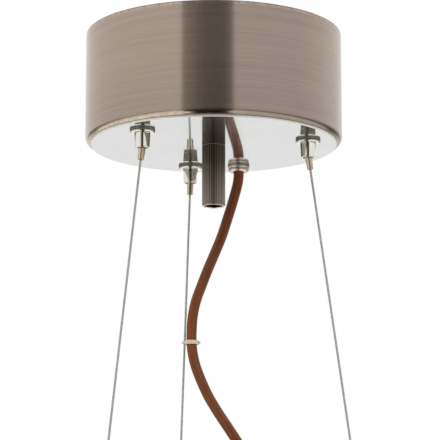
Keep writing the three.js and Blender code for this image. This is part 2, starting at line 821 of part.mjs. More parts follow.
const lugClear = cylinder(coreRadius + holeClearance, 0, 2 * lugBarrelLength, 0, 0, 16);
lugClear.rotateX(-Math.PI / 2).translate(0, lugBarrelStart, lugCoreZ);
const lugEye = cylinder(lugRadius, lugZ, lugThickness);
const lugPunch = cylinder(studHole, lugZ - lugThickness, 3 * lugThickness);
const lug = cut(joined(lugEye, lugNeck, lugBarrel), lugClear, lugPunch);
lug.rotateZ(radians(lugAngle - 90)).translate(earthStud.x, earthStud.y, 0);
add("earth_lug", lug, brass);
const earthNutZ = lugZ + lugThickness + seatGap;
const earthNut = hexNut(studNutFlats, studNutHeight, studHole, earthNutZ);
add("earth_nut", earthNut.translate(earthStud.x, earthStud.y, 0), brass);

// The three cores, from the sheath's end to the block and to the earth lug.
function coreStart(i) {
  const offset = polar(coreSpread, 90 + 120 * i);
  return new THREE.Vector3(glandPlace.x + offset.x, glandPlace.y + offset.y, cordSheathTop + cordGap);
}

function coreToPole(i, pole, archZ) {
  const start = coreStart(i);
  const x = poleX(pole);
  const entry = blockCentre.y + blockSize.y / 2;
  return smoothPath([
    start,
    start.clone().add(new THREE.Vector3(0, 0, coreRise)),
    new THREE.Vector3((start.x + x) / 2, (start.y + entry) / 2 + coreApproach, archZ),
    new THREE.Vector3(x, entry + coreApproach, poleZ + coreSpread),
    new THREE.Vector3(x, entry, poleZ),
    new THREE.Vector3(x, blockCentre.y + coreReach, poleZ),
  ]);
}
const livePath = coreToPole(2, poleCount - 1, cordSheathTop + liveArch);
const neutralPath = coreToPole(1, 0, cordSheathTop + neutralArch);
add("core_live", rod(livePath, coreRadius, 8, 13), brownCore);
add("core_neutral", rod(neutralPath, coreRadius, 8, 13), blueCore);

const earthEntry = lugBarrelStart + lugBarrelLength;
const earthStart = coreStart(0);
function alongLug(distance, z) {
  const offset = polar(distance, lugAngle);
  return new THREE.Vector3(earthStud.x + offset.x, earthStud.y + offset.y, z);
}
const earthPath = smoothPath([
  earthStart,
  earthStart.clone().add(new THREE.Vector3(-0.6, 0.3, 5)),
  new THREE.Vector3(glandPlace.x - 6, glandPlace.y - 1, cordSheathTop + earthArch),
  alongLug(earthEntry + 15, cordSheathTop - 4),
  alongLug(earthEntry + 6, lugCoreZ + 3),
  alongLug(earthEntry, lugCoreZ),
  alongLug(lugBarrelStart + coreReach, lugCoreZ),
]);
add("core_earth", rod(earthPath, coreRadius, 8, 16), greenYellowCore);

// Supply cord below the gland: the free stretch to the coil. Depths are below the face plate.
const below = (x, y, fall) => new THREE.Vector3(x, y, faceZ - fall);
const coilOuterRadius = coilInnerRadius + coilTurnsPerLayer * coilPitch;
const coilLead = 2 * cordRadius;
const coilEntry = new THREE.Vector3(
  coilCentre.x + coilOuterRadius,
  coilCentre.y,
  coilCentre.z + coilLead,
);
const freeCordPoints = [
  new THREE.Vector3(glandPlace.x, glandPlace.y, cordMeetZ - cordGap),
  new THREE.Vector3(glandPlace.x, glandPlace.y, cordMeetZ - cordGap - 2),
  below(14.6, 53.2, 10.8),
  below(13.2, 53.7, 16.4),
  below(11.1, 54.4, 23.8),
  below(8, 55.5, 33.6),
  below(4.8, 56.8, 43.2),
  below(0.8, 58.5, 52.8),
  below(-3.4, 60.6, 62.4),
  below(-7.2, 62.7, 71.9),
  below(-10.7, 64.8, 81.3),
  below(-12.7, 66.5, 90.8),
  below(-13.3, 67.5, 99.7),
  below(clipCord.x, clipCord.y, clipFall),
  below(-12.7, 67.6, 112.6),
  below(-10.7, 67.4, 119.9),
  below(-7.7, 66.9, 129.6),
  below(-3.1, 66.2, 139.2),
  below(2.7, 65.7, 149),
  below(9.1, 65.1, 158.7),
  below(15.8, 64.8, 169.2),
  below(22, 64.3, 180.8),
  below(26.2, 64.1, 193.3),
  new THREE.Vector3(coilEntry.x - 0.2, coilEntry.y, coilEntry.z + cordGap + 10),
  new THREE.Vector3(coilEntry.x, coilEntry.y, coilEntry.z + cordGap + 3),
  new THREE.Vector3(coilEntry.x, coilEntry.y, coilEntry.z + cordGap),
];
const freeCord = smoothPath(freeCordPoints);
add("cord_free", rod(freeCord, cordRadius, 10, 26), brownSheath);

// The rest of the cord in a round coil of two layers. It spirals in through the first layer,
// changes layer, and spirals out again at the same rate.
function coilPoints() {
  const turns = 2 * coilTurnsPerLayer;
  const steps = turns * coilStepsPerTurn;
  const points = [coilEntry.clone()];
  for (let i = 0; i <= steps; i++) {
    const turn = i / coilStepsPerTurn;
    const fromReverse = turn - coilTurnsPerLayer;
    const radius = coilInnerRadius + Math.abs(fromReverse) * coilPitch;
    const climb = THREE.MathUtils.smoothstep(fromReverse, -coilClimb / 2, coilClimb / 2);
    const angle = -2 * Math.PI * turn;
    points.push(
      new THREE.Vector3(
        coilCentre.x + radius * Math.cos(angle),
        coilCentre.y + coilPitch * climb,
        coilCentre.z + radius * Math.sin(angle),
      ),
    );
  }
  const end = points.at(-1).clone();
  end.z -= coilLead;
  points.push(end);
  return points;
}

const coil = coilPoints();
add("cord_coil", woundTube(coil, cordRadius, coilSides, new THREE.Vector3(0, 1, 0)), brownSheath);
const coilLength = coil.reduce((sum, p, i) => (i ? sum + p.distanceTo(coil[i - 1]) : 0), 0);
const coilGap = leastGap(coil, cordRadius, coilStepsPerTurn / 2);
console.log("coil: length " + coilLength.toFixed(0) + " mm");
console.log("coil: least gap to itself " + coilGap.toFixed(2) + " mm");
console.log("free cord: length " + freeCord.getLength().toFixed(0) + " mm");

// A band round all the turns, at the top of the coil.
const bundleMiddle = (coilInnerRadius + coilOuterRadius) / 2;
const bundleHalfHeight = (coilOuterRadius - coilInnerRadius) / 2 - coilPitch / 4 + cordRadius;
const bundleHalfDepth = coilPitch / 2 + cordRadius;
function bandOutline(extra) {
  const halfDepth = bundleHalfDepth + tieClearance + extra;
  const halfHeight = bundleHalfHeight + tieClearance + extra;
  const corner = cordRadius + extra;
  const outline = new THREE.Shape();
  const [x, y] = [halfDepth - corner, halfHeight - corner];
  outline.absarc(x, y, corner, 0, Math.PI / 2, false);
  outline.absarc(-x, y, corner, Math.PI / 2, Math.PI, false);
  outline.absarc(-x, -y, corner, Math.PI, 1.5 * Math.PI, false);
  outline.absarc(x, -y, corner, 1.5 * Math.PI, 2 * Math.PI, false);
  return outline;
}
const band = bandOutline(tieThickness);
band.holes.push(bandOutline(0));
const tie = extruded(band, -tieWidth / 2, tieWidth, 3);
tie.rotateX(Math.PI / 2).rotateZ(Math.PI / 2);
tie.translate(coilCentre.x, coilCentre.y + coilPitch / 2, coilCentre.z + bundleMiddle);
add("cord_tie", tie, blackRubber);

// The cord's lower end: three stripped cores with crimped ferrules.
function strippedEnd() {
  const rootRadius = cordRadius - strippedRootInset;
  const root = cylinder(rootRadius, -strippedRootLength, strippedRootLength, 0, 0, 12);
  const coreTop = -strippedRootLength / 2;
  const cores = [0, 1, 2].map((i) => {
    const offset = polar(coreSpread, 90 + 120 * i);
    const collarTop = -strippedLength;
    const pinTop = collarTop - ferruleCollarLength;
    const core = turned([
      [0, coreTop],
      [coreRadius, coreTop],
      [coreRadius, collarTop],
      [ferruleCollarRadius, collarTop],
      [coreRadius, pinTop],
      [ferrulePinRadius, pinTop],
      [ferrulePinRadius, pinTop - ferrulePinLength],
      [0, pinTop - ferrulePinLength],
    ], 6);
    const splay = polar(radians(coreSplay), 120 * i);
    core.rotateX(-splay.x).rotateY(-splay.y);
    return core.translate(offset.x, offset.y, 0);
  });
  return joined(root, ...cores);
}
const coilEnd = coil.at(-1);
add("cord_end_cores", strippedEnd().translate(coilEnd.x, coilEnd.y, coilEnd.z - cordGap), brownCore);

// Clip: a thin ring that holds the cord beside the far wire, with a slit and a small tab where
// it is pressed open.
function cordClip() {
  const farIndex = gripperNames.indexOf("far");
  const radial = gripperPlaces[farIndex].clone().normalize();
  const wireRun = wireLean * (clipFall - pivotFall);
  const wireAt = gripperPlaces[farIndex].clone().addScaledVector(radial, wireRun);
  const toWire = wireAt.clone().sub(clipCord);
  const low = -clipThickness / 2;
  const ring = cylinder(cordHoleRadius + clipWall, low, clipThickness);
  const leanRoom = (wireLean * clipThickness) / 2 + holeClearance;
  const wireLobe = wireRadius + leanRoom + clipWireWall;
  const lobe = cylinder(wireLobe, low, clipThickness, toWire.x, toWire.y);
  const tab = new THREE.BoxGeometry(clipTabLength, clipTabWidth, clipThickness);
  tab.translate(cordHoleRadius + clipWall + clipTabLength / 4, 0, 0);
  const cordHole = cylinder(cordHoleRadius, 2 * low, 2 * clipThickness);
  const wireHole = cylinder(wireRadius + leanRoom, 2 * low, 2 * clipThickness, toWire.x, toWire.y, 16);
  const slit = new THREE.BoxGeometry(4 * clipWall + clipTabLength, clipSlit, 2 * clipThickness);
  slit.translate(cordHoleRadius + 2 * clipWall, 0, 0);
  return cut(joined(ring, lobe, tab), cordHole, wireHole, slit);
}
add("cord_clip", cordClip().translate(clipCord.x, clipCord.y, faceZ - clipFall), paleClip);

export default lamp;
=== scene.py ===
import itertools
import json
import math

import bmesh
import bpy
from mathutils import Matrix, Vector


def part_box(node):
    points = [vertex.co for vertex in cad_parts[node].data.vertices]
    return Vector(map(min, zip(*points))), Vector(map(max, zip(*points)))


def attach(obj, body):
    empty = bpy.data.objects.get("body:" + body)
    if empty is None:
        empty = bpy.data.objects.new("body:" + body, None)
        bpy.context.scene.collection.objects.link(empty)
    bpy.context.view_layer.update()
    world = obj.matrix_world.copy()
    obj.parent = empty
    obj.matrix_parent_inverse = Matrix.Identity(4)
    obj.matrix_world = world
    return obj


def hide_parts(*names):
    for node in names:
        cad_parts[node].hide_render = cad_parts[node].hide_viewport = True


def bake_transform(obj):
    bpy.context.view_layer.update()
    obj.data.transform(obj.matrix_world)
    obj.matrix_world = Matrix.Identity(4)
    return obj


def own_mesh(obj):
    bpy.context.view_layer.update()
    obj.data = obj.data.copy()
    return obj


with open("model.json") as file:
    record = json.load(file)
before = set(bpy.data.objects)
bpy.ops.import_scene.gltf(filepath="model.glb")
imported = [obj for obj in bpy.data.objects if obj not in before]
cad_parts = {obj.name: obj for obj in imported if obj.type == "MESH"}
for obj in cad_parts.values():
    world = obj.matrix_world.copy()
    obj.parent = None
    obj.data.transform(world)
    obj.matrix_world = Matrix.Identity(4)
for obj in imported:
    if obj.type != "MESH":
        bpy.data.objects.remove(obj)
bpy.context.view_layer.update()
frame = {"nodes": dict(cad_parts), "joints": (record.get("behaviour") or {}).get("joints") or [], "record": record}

# Ceiling bracket: a flat strip of zinc-plated steel with round ends and two slots for the
# ceiling screws. It carries everything below it on a threaded tube.
MM = 0.001
BRACKET_EDGE = 0.25 * MM
BRACKET_SLOT_LENGTH = 22 * MM
BRACKET_SLOT_WIDTH = 5.4 * MM
BRACKET_SLOT_CENTRE = 42 * MM


def tint(*levels):
    """A colour given in display levels from 0 to 255, as linear light with full alpha."""
    linear = [c / 255 / 12.92 if c < 11 else ((c / 255 + 0.055) / 1.055) ** 2.4 for c in levels]
    return (*linear, 1.0)


def node_group(name, kind, inputs, outputs):
    """An empty node group with named inputs and outputs, each given with its kind of socket."""
    group = bpy.data.node_groups.new(name, kind)
    for side, sockets in (("INPUT", inputs), ("OUTPUT", outputs)):
        for label, socket in sockets.items():
            group.interface.new_socket(label, in_out=side, socket_type="NodeSocket" + socket)
    return group, group.nodes.new("NodeGroupInput").outputs, group.nodes.new("NodeGroupOutput").inputs


def add_node(tree, kind, sources, **settings):
    """The outputs of a new node with settings, and with a socket or a value for its inputs."""
    node = tree.nodes.new(kind)
    for label, value in settings.items():
        setattr(node, label, value)
    for label, source in sources.items():
        if isinstance(source, bpy.types.NodeSocket):
            tree.links.new(source, node.inputs[label])
        else:
            node.inputs[label].default_value = source
    return node.outputs


def calc(tree, operation, *values, clamp=False):
    """The result of a math node."""
    sources = dict(enumerate(values))
    return add_node(tree, "ShaderNodeMath", sources, operation=operation, use_clamp=clamp)[0]


def noise(tree, vector, scale, detail):
    """Noise from 0 to 1."""
    sources = {"Vector": vector, "Scale": scale, "Detail": detail}
    return add_node(tree, "ShaderNodeTexNoise", sources)["Fac"]


def make_mottle():
    """Soft cloudy patches, as plating, oxide and handling leave them."""
    inputs = {"Vector": "Vector", "Scale": "Float", "Contrast": "Float"}
    group, given, result = node_group("mottle", "ShaderNodeTree", inputs, {"Mask": "Float"})
    centred = calc(group, "SUBTRACT", noise(group, given["Vector"], given["Scale"], 5), 0.5)
    mask = calc(group, "ADD", calc(group, "MULTIPLY", centred, given["Contrast"]), 0.5, clamp=True)
    group.links.new(mask, result["Mask"])
    return group


def make_drawn_lines():
    """Fine parallel lines, as a brush, a lathe tool or a drawing die leaves them. Stretch sets
    how much finer they are along each axis."""
    inputs = {"Vector": "Vector", "Stretch": "Vector", "Fineness": "Float"}
    group, given, result = node_group("drawn_lines", "ShaderNodeTree", inputs, {"Lines": "Float"})
    factors = {0: given["Vector"], 1: given["Stretch"]}
    place = add_node(group, "ShaderNodeVectorMath", factors, operation="MULTIPLY")[0]
    coarse = noise(group, place, given["Fineness"], 3)
    fine = noise(group, place, calc(group, "MULTIPLY", given["Fineness"], 3.7), 2)
    lines = calc(group, "MULTIPLY", calc(group, "ADD", coarse, fine), 0.5)
    group.links.new(lines, result["Lines"])
    return group


MOTTLE = make_mottle()
DRAWN_LINES = make_drawn_lines()


def make_material(name, color, roughness, metallic):
    """A material with a Principled shader, and with coordinates for its patterns."""
    material = bpy.data.materials.new(name)
    material.use_nodes = True
    tree = material.node_tree
    shader = tree.nodes["Principled BSDF"].inputs
    shader["Base Color"].default_value = color
    shader["Roughness"].default_value = roughness
    shader["Metallic"].default_value = metallic
    tree.nodes.new("ShaderNodeTexCoord")
    return material, tree, shader


def here(tree, kind="Object"):
    """The coordinates that a material's patterns read: the object's own, or its UV map."""
    return tree.nodes["Texture Coordinate"].outputs[kind]


def place_along(tree, kind="Object"):
    """The three coordinates of a point on the surface, by axis."""
    return add_node(tree, "ShaderNodeSeparateXYZ", {"Vector": here(tree, kind)})


def mottle(tree, scale, contrast):
    """A mask of cloudy patches."""
    sources = {"Vector": here(tree), "Scale": scale, "Contrast": contrast}
    return add_node(tree, "ShaderNodeGroup", sources, node_tree=MOTTLE)["Mask"]


def drawn_lines(tree, stretch, fineness, vector=None):
    """A mask of fine lines, on the object's coordinates if no others are given."""
    vector = here(tree) if vector is None else vector
    sources = {"Vector": vector, "Stretch": stretch, "Fineness": fineness}
    return add_node(tree, "ShaderNodeGroup", sources, node_tree=DRAWN_LINES)["Lines"]


def grains(tree, scale):
    """The outputs of a pattern of small cells."""
    return add_node(tree, "ShaderNodeTexVoronoi", {"Vector": here(tree), "Scale": scale})


def mix(tree, mask, first, second, way="MIX"):
    """A colour that goes from first to second with a mask."""
    sources = {0: mask, 6: first, 7: second}
    return add_node(tree, "ShaderNodeMix", sources, data_type="RGBA", blend_type=way)[2]


def spread(tree, value, low, high, start=0.0, end=1.0):
    """A number that goes from low to high as a value goes from start to end."""
    sources = {"Value": value, "From Min": start, "From Max": end, "To Min": low, "To Max": high}
    return add_node(tree, "ShaderNodeMapRange", sources)["Result"]


def dressed(material, color, roughness, height=None, depth=0.0, strength=1.0):
    """A material with its patterns linked: colour, roughness and relief of a height pattern."""
    tree = material.node_tree
    shader = tree.nodes["Principled BSDF"].inputs
    tree.links.new(color, shader["Base Color"])
    tree.links.new(roughness, shader["Roughness"])
    if height is not None:
        sources = {"Height": height, "Distance": depth, "Strength": strength}
        tree.links.new(add_node(tree, "ShaderNodeBump", sources)["Normal"], shader["Normal"])
    return material


def make_zinc():
    """Bright zinc plating, bluish, with a faint spangle and duller patches."""
    material, tree, _ = make_material("zinc_plate", tint(186, 190, 194), 0.34, 1)
    spangle = grains(tree, 420)["Distance"]
    patches = mottle(tree, 90, 2.2)
    bright = mix(tree, spangle, tint(178, 184, 192), tint(205, 207, 206))
    color = mix(tree, patches, bright, tint(160, 163, 160))
    return dressed(material, color, spread(tree, patches, 0.26, 0.46), spangle, 0.02 * MM, 0.4)


ZINC = make_zinc()


def finish_piece(name, mesh, material, body, slot, *nodes):
    """Puts a finished mesh into the scene, on its body and in the place of its CAD nodes."""
    mesh.name = name
    if not mesh.materials:
        mesh.materials.append(material)
    piece = bpy.data.objects.new(name, mesh)
    bpy.context.scene.collection.objects.link(piece)
    if body:
        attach(piece, body)
    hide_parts(*nodes)
    return piece


def smooth(mesh, sharp_degrees=35):
    """Smooth shading with sharp edges kept."""
    mesh.shade_smooth()
    mesh.set_sharp_from_angle(angle=math.radians(sharp_degrees))
    return mesh


def placed(mesh, x, y, z):
    """A mesh moved by that much."""
    mesh.transform(Matrix.Translation((x, y, z)))
    return mesh


def evaluated_mesh(piece):
    """The mesh of an object with its modifiers or its curve settings applied. The object goes."""
    bpy.context.scene.collection.objects.link(piece)
    bpy.context.view_layer.update()
    mesh = bpy.data.meshes.new_from_object(piece.evaluated_get(bpy.context.evaluated_depsgraph_get()))
    bpy.data.objects.remove(piece)
    return mesh


def round_edged_plate(outlines, thickness, edge):
    """A flat plate between z = 0 and its thickness. The first outline is its rim and the others
    are its holes, and all its edges are rounded."""
    curve = bpy.data.curves.new("outline", "CURVE")
    curve.dimensions = "2D"
    curve.fill_mode = "BOTH"
    curve.extrude = thickness / 2 - edge
    curve.bevel_depth = edge
    curve.bevel_resolution = 2
    curve.offset = -edge
    curve.resolution_u = 1
    for outline in outlines:
        spline = curve.splines.new("POLY")
        spline.points.add(len(outline) - 1)
        for point, (x, y) in zip(spline.points, outline):
            point.co = (x, y, 0, 1)
        spline.use_cyclic_u = True
    mesh = evaluated_mesh(bpy.data.objects.new("outline", curve))
    return smooth(placed(mesh, 0, 0, thickness / 2))


def arc(radius, start, end, x=0.0, y=0.0, steps=40):
    """Points on an arc between two angles in degrees."""
    angles = [math.radians(start + (end - start) * i / steps) for i in range(steps + 1)]
    return [(x + radius * math.cos(a), y + radius * math.sin(a)) for a in angles]


def slot_outline(length, width, x):
    """A slot with round ends along X, as points."""
    reach = (length - width) / 2
    return arc(width / 2, -90, 90, x + reach, 0, 16) + arc(width / 2, 90, 270, x - reach, 0, 16)


bracket_low, bracket_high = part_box("ceiling_bracket")
length, width, thickness = bracket_high - bracket_low
outlines = [slot_outline(length, width, 0)]
for side in (-1, 1):
    outlines.append(slot_outline(BRACKET_SLOT_LENGTH, BRACKET_SLOT_WIDTH, side * BRACKET_SLOT_CENTRE))
bracket = placed(round_edged_plate(outlines, thickness, BRACKET_EDGE), 0, 0, bracket_low.z)
finish_piece("bracket_strip", bracket, ZINC, "root", "zinc_steel", "ceiling_bracket")

# Threaded tube: an M10 lamp tube of zinc-plated steel, fixed in the bracket and held by a
# hexagonal nut. The supply cable from the ceiling can come down through its bore.
FINE_EDGE = 0.1 * MM
CRISP_EDGE = 0.15 * MM
SOFT_EDGE = 0.2 * MM
PLAIN_EDGE = 0.3 * MM
BROAD_EDGE = 0.4 * MM
ARC_SUPPORT = 0.15
ON_AXIS = 1e-7
TUBE_BORE = 3.5 * MM
TUBE_PITCH = 1 * MM
TUBE_THREAD_DEPTH = 0.55 * MM
BRACKET_NUT_FLATS = 14 * MM
NUT_FACE_SHARE = 0.48
NUT_BEVEL_SHARE = 0.03
NUT_CONE_SLOPE = math.tan(math.radians(30))


def rounded(profile, steps):
    """A profile of (radius, height, rounding) corners as points. A rounded corner gets an arc,
    with one more point on each side that keeps its flat faces flat."""
    points = []
    for i, (x, z, rounding) in enumerate(profile):
        corner = Vector((x, z))
        if not rounding:
            points.append(corner)
            continue
        before = (Vector(profile[i - 1][:2]) - corner).normalized()
        after = (Vector(profile[(i + 1) % len(profile)][:2]) - corner).normalized()
        half = before.angle(after) / 2
        reach = rounding / math.tan(half)
        middle = corner + (before + after).normalized() * (rounding / math.sin(half))
        start = corner + before * reach - middle
        end = corner + after * reach - middle
        points.append(middle + start + before * (rounding * ARC_SUPPORT))
        points += [middle + start.slerp(end, step / steps) * rounding for step in range(steps + 1)]
        points.append(middle + end + after * (rounding * ARC_SUPPORT))
    return points


def polar(radius, angle, z):
    """The point at that radius and angle round the Z axis."""
    return Vector((radius * math.cos(angle), radius * math.sin(angle), z))


def distances(points):
    """How far along a path each of its points lies."""
    steps = [(b - a).length for a, b in zip(points, points[1:])]
    return [0.0, *itertools.accumulate(steps)]


def add_walls(form, rings, heights=None):
    """Adds walls from each ring of corners to the next. With heights they get a UV map, which
    runs round the rings and up the heights. A ring on the axis is one corner, given as often as
    the others have corners."""
    uv = None
    if heights:
        uv = form.loops.layers.uv.active or form.loops.layers.uv.new("UVMap")
    heights = heights or [0.0] * len(rings)
    sides = len(rings[0])
    for lower, upper, low, high in zip(rings, rings[1:], heights, heights[1:]):
        for s in range(sides):
            t = (s + 1) % sides
            corners = [(lower[s], s, low), (lower[t], s + 1, low)]
            corners += [(upper[t], s + 1, high), (upper[s], s, high)]
            if lower[s] == lower[t]:
                del corners[1]
            if upper[s] == upper[t]:
                del corners[-2]
            if len(corners) < 3:
                continue
            face = form.faces.new([corner for corner, _, _ in corners])
            if uv:
                for loop, (_, around, height) in zip(face.loops, corners):
                    loop[uv].uv = (around / sides, height)


def form_mesh(form, sharp_degrees=35):
    """The smooth mesh of a bmesh, which goes."""
    mesh = bpy.data.meshes.new("form")
    form.to_mesh(mesh)
    form.free()
    return smooth(mesh, sharp_degrees)


def turned(profile, sides=64, steps=4):
    """A body of revolution round Z from a closed profile of (radius, height, rounding) corners.
    Its UV map runs round it and along its profile."""
    points = rounded(profile, steps)
    if sum(a.x * b.y - b.x * a.y for a, b in zip(points, points[1:] + points[:1])) < 0:
        points.reverse()
    form = bmesh.new()
    rings = []
    for radius, z in points:
        if radius < ON_AXIS:
            rings.append([form.verts.new((0, 0, z))] * sides)
        else:
            rings.append([form.verts.new(polar(radius, 2 * math.pi * s / sides, z)) for s in range(sides)])
    add_walls(form, rings + rings[:1], distances([*points, points[0]]))
    return form_mesh(form)


def apply_tree(mesh, tree, values):
    """The mesh that a geometry node tree makes of another, with its inputs set by name."""
    piece = bpy.data.objects.new("work", mesh)
    modifier = piece.modifiers.new("tree", "NODES")
    modifier.node_group = tree
    for item in tree.interface.items_tree:
        if item.name in values:
            modifier[item.identifier] = values[item.name]
    return evaluated_mesh(piece)


def geometry_tree(name, inputs):
    """An empty geometry node tree with named inputs, each given with its kind of socket."""
    inputs = {"Geometry": "Geometry", **inputs, "Finish": "Material"}
    return node_group(name, "GeometryNodeTree", inputs, {"Geometry": "Geometry"})


def end_tree(tree, geometry, given, result):
    """Ends a geometry node tree: its instances become real and get their material."""
    real = add_node(tree, "GeometryNodeRealizeInstances", {"Geometry": geometry})[0]
    painted = add_node(tree, "GeometryNodeSetMaterial", {"Geometry": real, "Material": given["Finish"]})
    tree.links.new(painted[0], result["Geometry"])
    return tree


def make_helix_tree():
    """A wire wound round the Z axis from a named bottom, joined to the given core. With three
    sides it is the ridge of a screw thread."""
    kinds = {"Reach": "Float", "Height": "Float", "Bottom": "Float", "Turns": "Float"}
    kinds |= {"Steps": "Int", "Wire": "Float", "Sides": "Int"}
    tree, given, result = geometry_tree("helix", kinds)
    winding = {"Resolution": given["Steps"], "Rotations": given["Turns"], "Height": given["Height"]}
    winding |= {"Start Radius": given["Reach"], "End Radius": given["Reach"], "Reverse": True}
    helix = add_node(tree, "GeometryNodeCurveSpiral", winding)[0]
    size = {"Resolution": given["Sides"], "Radius": given["Wire"]}
    section = add_node(tree, "GeometryNodeCurvePrimitiveCircle", size, mode="RADIUS")[0]
    curves = {"Curve": helix, "Profile Curve": section, "Fill Caps": True}
    wound = add_node(tree, "GeometryNodeCurveToMesh", curves)[0]
    lift = add_node(tree, "ShaderNodeCombineXYZ", {"Z": given["Bottom"]})[0]
    moved = add_node(tree, "GeometryNodeTransform", {"Geometry": wound, "Translation": lift})[0]
    both = tree.nodes.new("GeometryNodeJoinGeometry")
    tree.links.new(given["Geometry"], both.inputs[0])
    tree.links.new(moved, both.inputs[0])
    return end_tree(tree, both.outputs[0], given, result)


HELIX = make_helix_tree()


def threaded(core, radius, low, high, pitch, depth, finish):
    """A turned core with a thread of that outer radius from low to high."""
    return apply_tree(core, HELIX, {
        "Reach": radius - depth / 2,
        "Wire": depth / 2,
        "Height": high - low,
        "Bottom": low,
        "Turns": (high - low) / pitch,
        "Steps": 32,
        "Sides": 3,
        "Finish": finish,
    })


def hex_nut(flats, height, bore, sides=96):
    """A hexagonal nut on z = 0, with its corners turned off to a cone and a bevelled bore."""
    face = flats * NUT_FACE_SHARE
    bevel = flats * NUT_BEVEL_SHARE
    form = bmesh.new()
    columns = []
    for s in range(sides):
        angle = 2 * math.pi * s / sides
        side = flats / 2 / math.cos(angle % (math.pi / 3) - math.pi / 6)
        low = [(bore, bevel), (bore + bevel, 0), (face, 0), (side, (side - face) * NUT_CONE_SLOPE)]
        high = [(radius, height - z) for radius, z in reversed(low)]
        columns.append([form.verts.new(polar(radius, angle, z)) for radius, z in low + high])
    rings = list(zip(*columns))
    add_walls(form, rings + rings[:1])
    return form_mesh(form, 20)


def middle_of(node):
    """The middle of a CAD node's box."""
    low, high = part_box(node)
    return (low + high) / 2


def fit_nut(name, node, flats, bore, body, material=ZINC, slot="zinc_steel"):
    """A nut in the place of its CAD node."""
    low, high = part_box(node)
    middle = middle_of(node)
    nut = placed(hex_nut(flats, high.z - low.z, bore), middle.x, middle.y, low.z)
    finish_piece(name, nut, material, body, slot, node)


tube_low, tube_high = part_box("threaded_tube")
tube_radius = tube_high.x
core_radius = tube_radius - TUBE_THREAD_DEPTH
tube_core = turned([
    (TUBE_BORE, tube_high.z, CRISP_EDGE),
    (TUBE_BORE, tube_low.z, CRISP_EDGE),
    (core_radius, tube_low.z, PLAIN_EDGE),
    (core_radius, tube_high.z, PLAIN_EDGE),
], 48)
thread_low, thread_high = tube_low.z + TUBE_PITCH, tube_high.z - TUBE_PITCH
tube = threaded(tube_core, tube_radius, thread_low, thread_high, TUBE_PITCH, TUBE_THREAD_DEPTH, ZINC)
finish_piece("lamp_tube", tube, ZINC, "root", "zinc_steel", "threaded_tube")
fit_nut("tube_lock_nut", "bracket_nut", BRACKET_NUT_FLATS, tube_radius, "root")

# Canopy: a cup drawn from one sheet with a rounded lower edge, brushed round its wall and
# toned to antique bronze. Its lower edge is worn, with a painted highlight on it. Inside it is plain.
SLIVER = 0.002 * MM
CANOPY_WALL = 1 * MM
CANOPY_CORNER = 3 * MM
CANOPY_SIDES = 256
STEM_HOLE_RADIUS = 4.2 * MM
GLAND_HOLE_RADIUS = 5.3 * MM
TUBE_HOLE_RADIUS = 5.5 * MM
WORN_AND_HIGHLIT_EDGE_HEIGHT = 3.4 * MM
WORN_RIM_HEIGHT = 2.6 * MM
RIM_LINE_HEIGHT = 0.7 * MM
PAINTED_SHADE_HEIGHT = 44 * MM
PAINTED_SHADE_TONE = (0.93, 0.93, 0.94, 1)
HIGHLIT_WORN_SIDE = (-0.72, -0.69, 0)
HIGHLIT_WORN_SIDE_FROM = 35 * MM
HIGHLIT_WORN_SIDE_TO = 60 * MM
GRIPPERS = ("left", "far", "right")


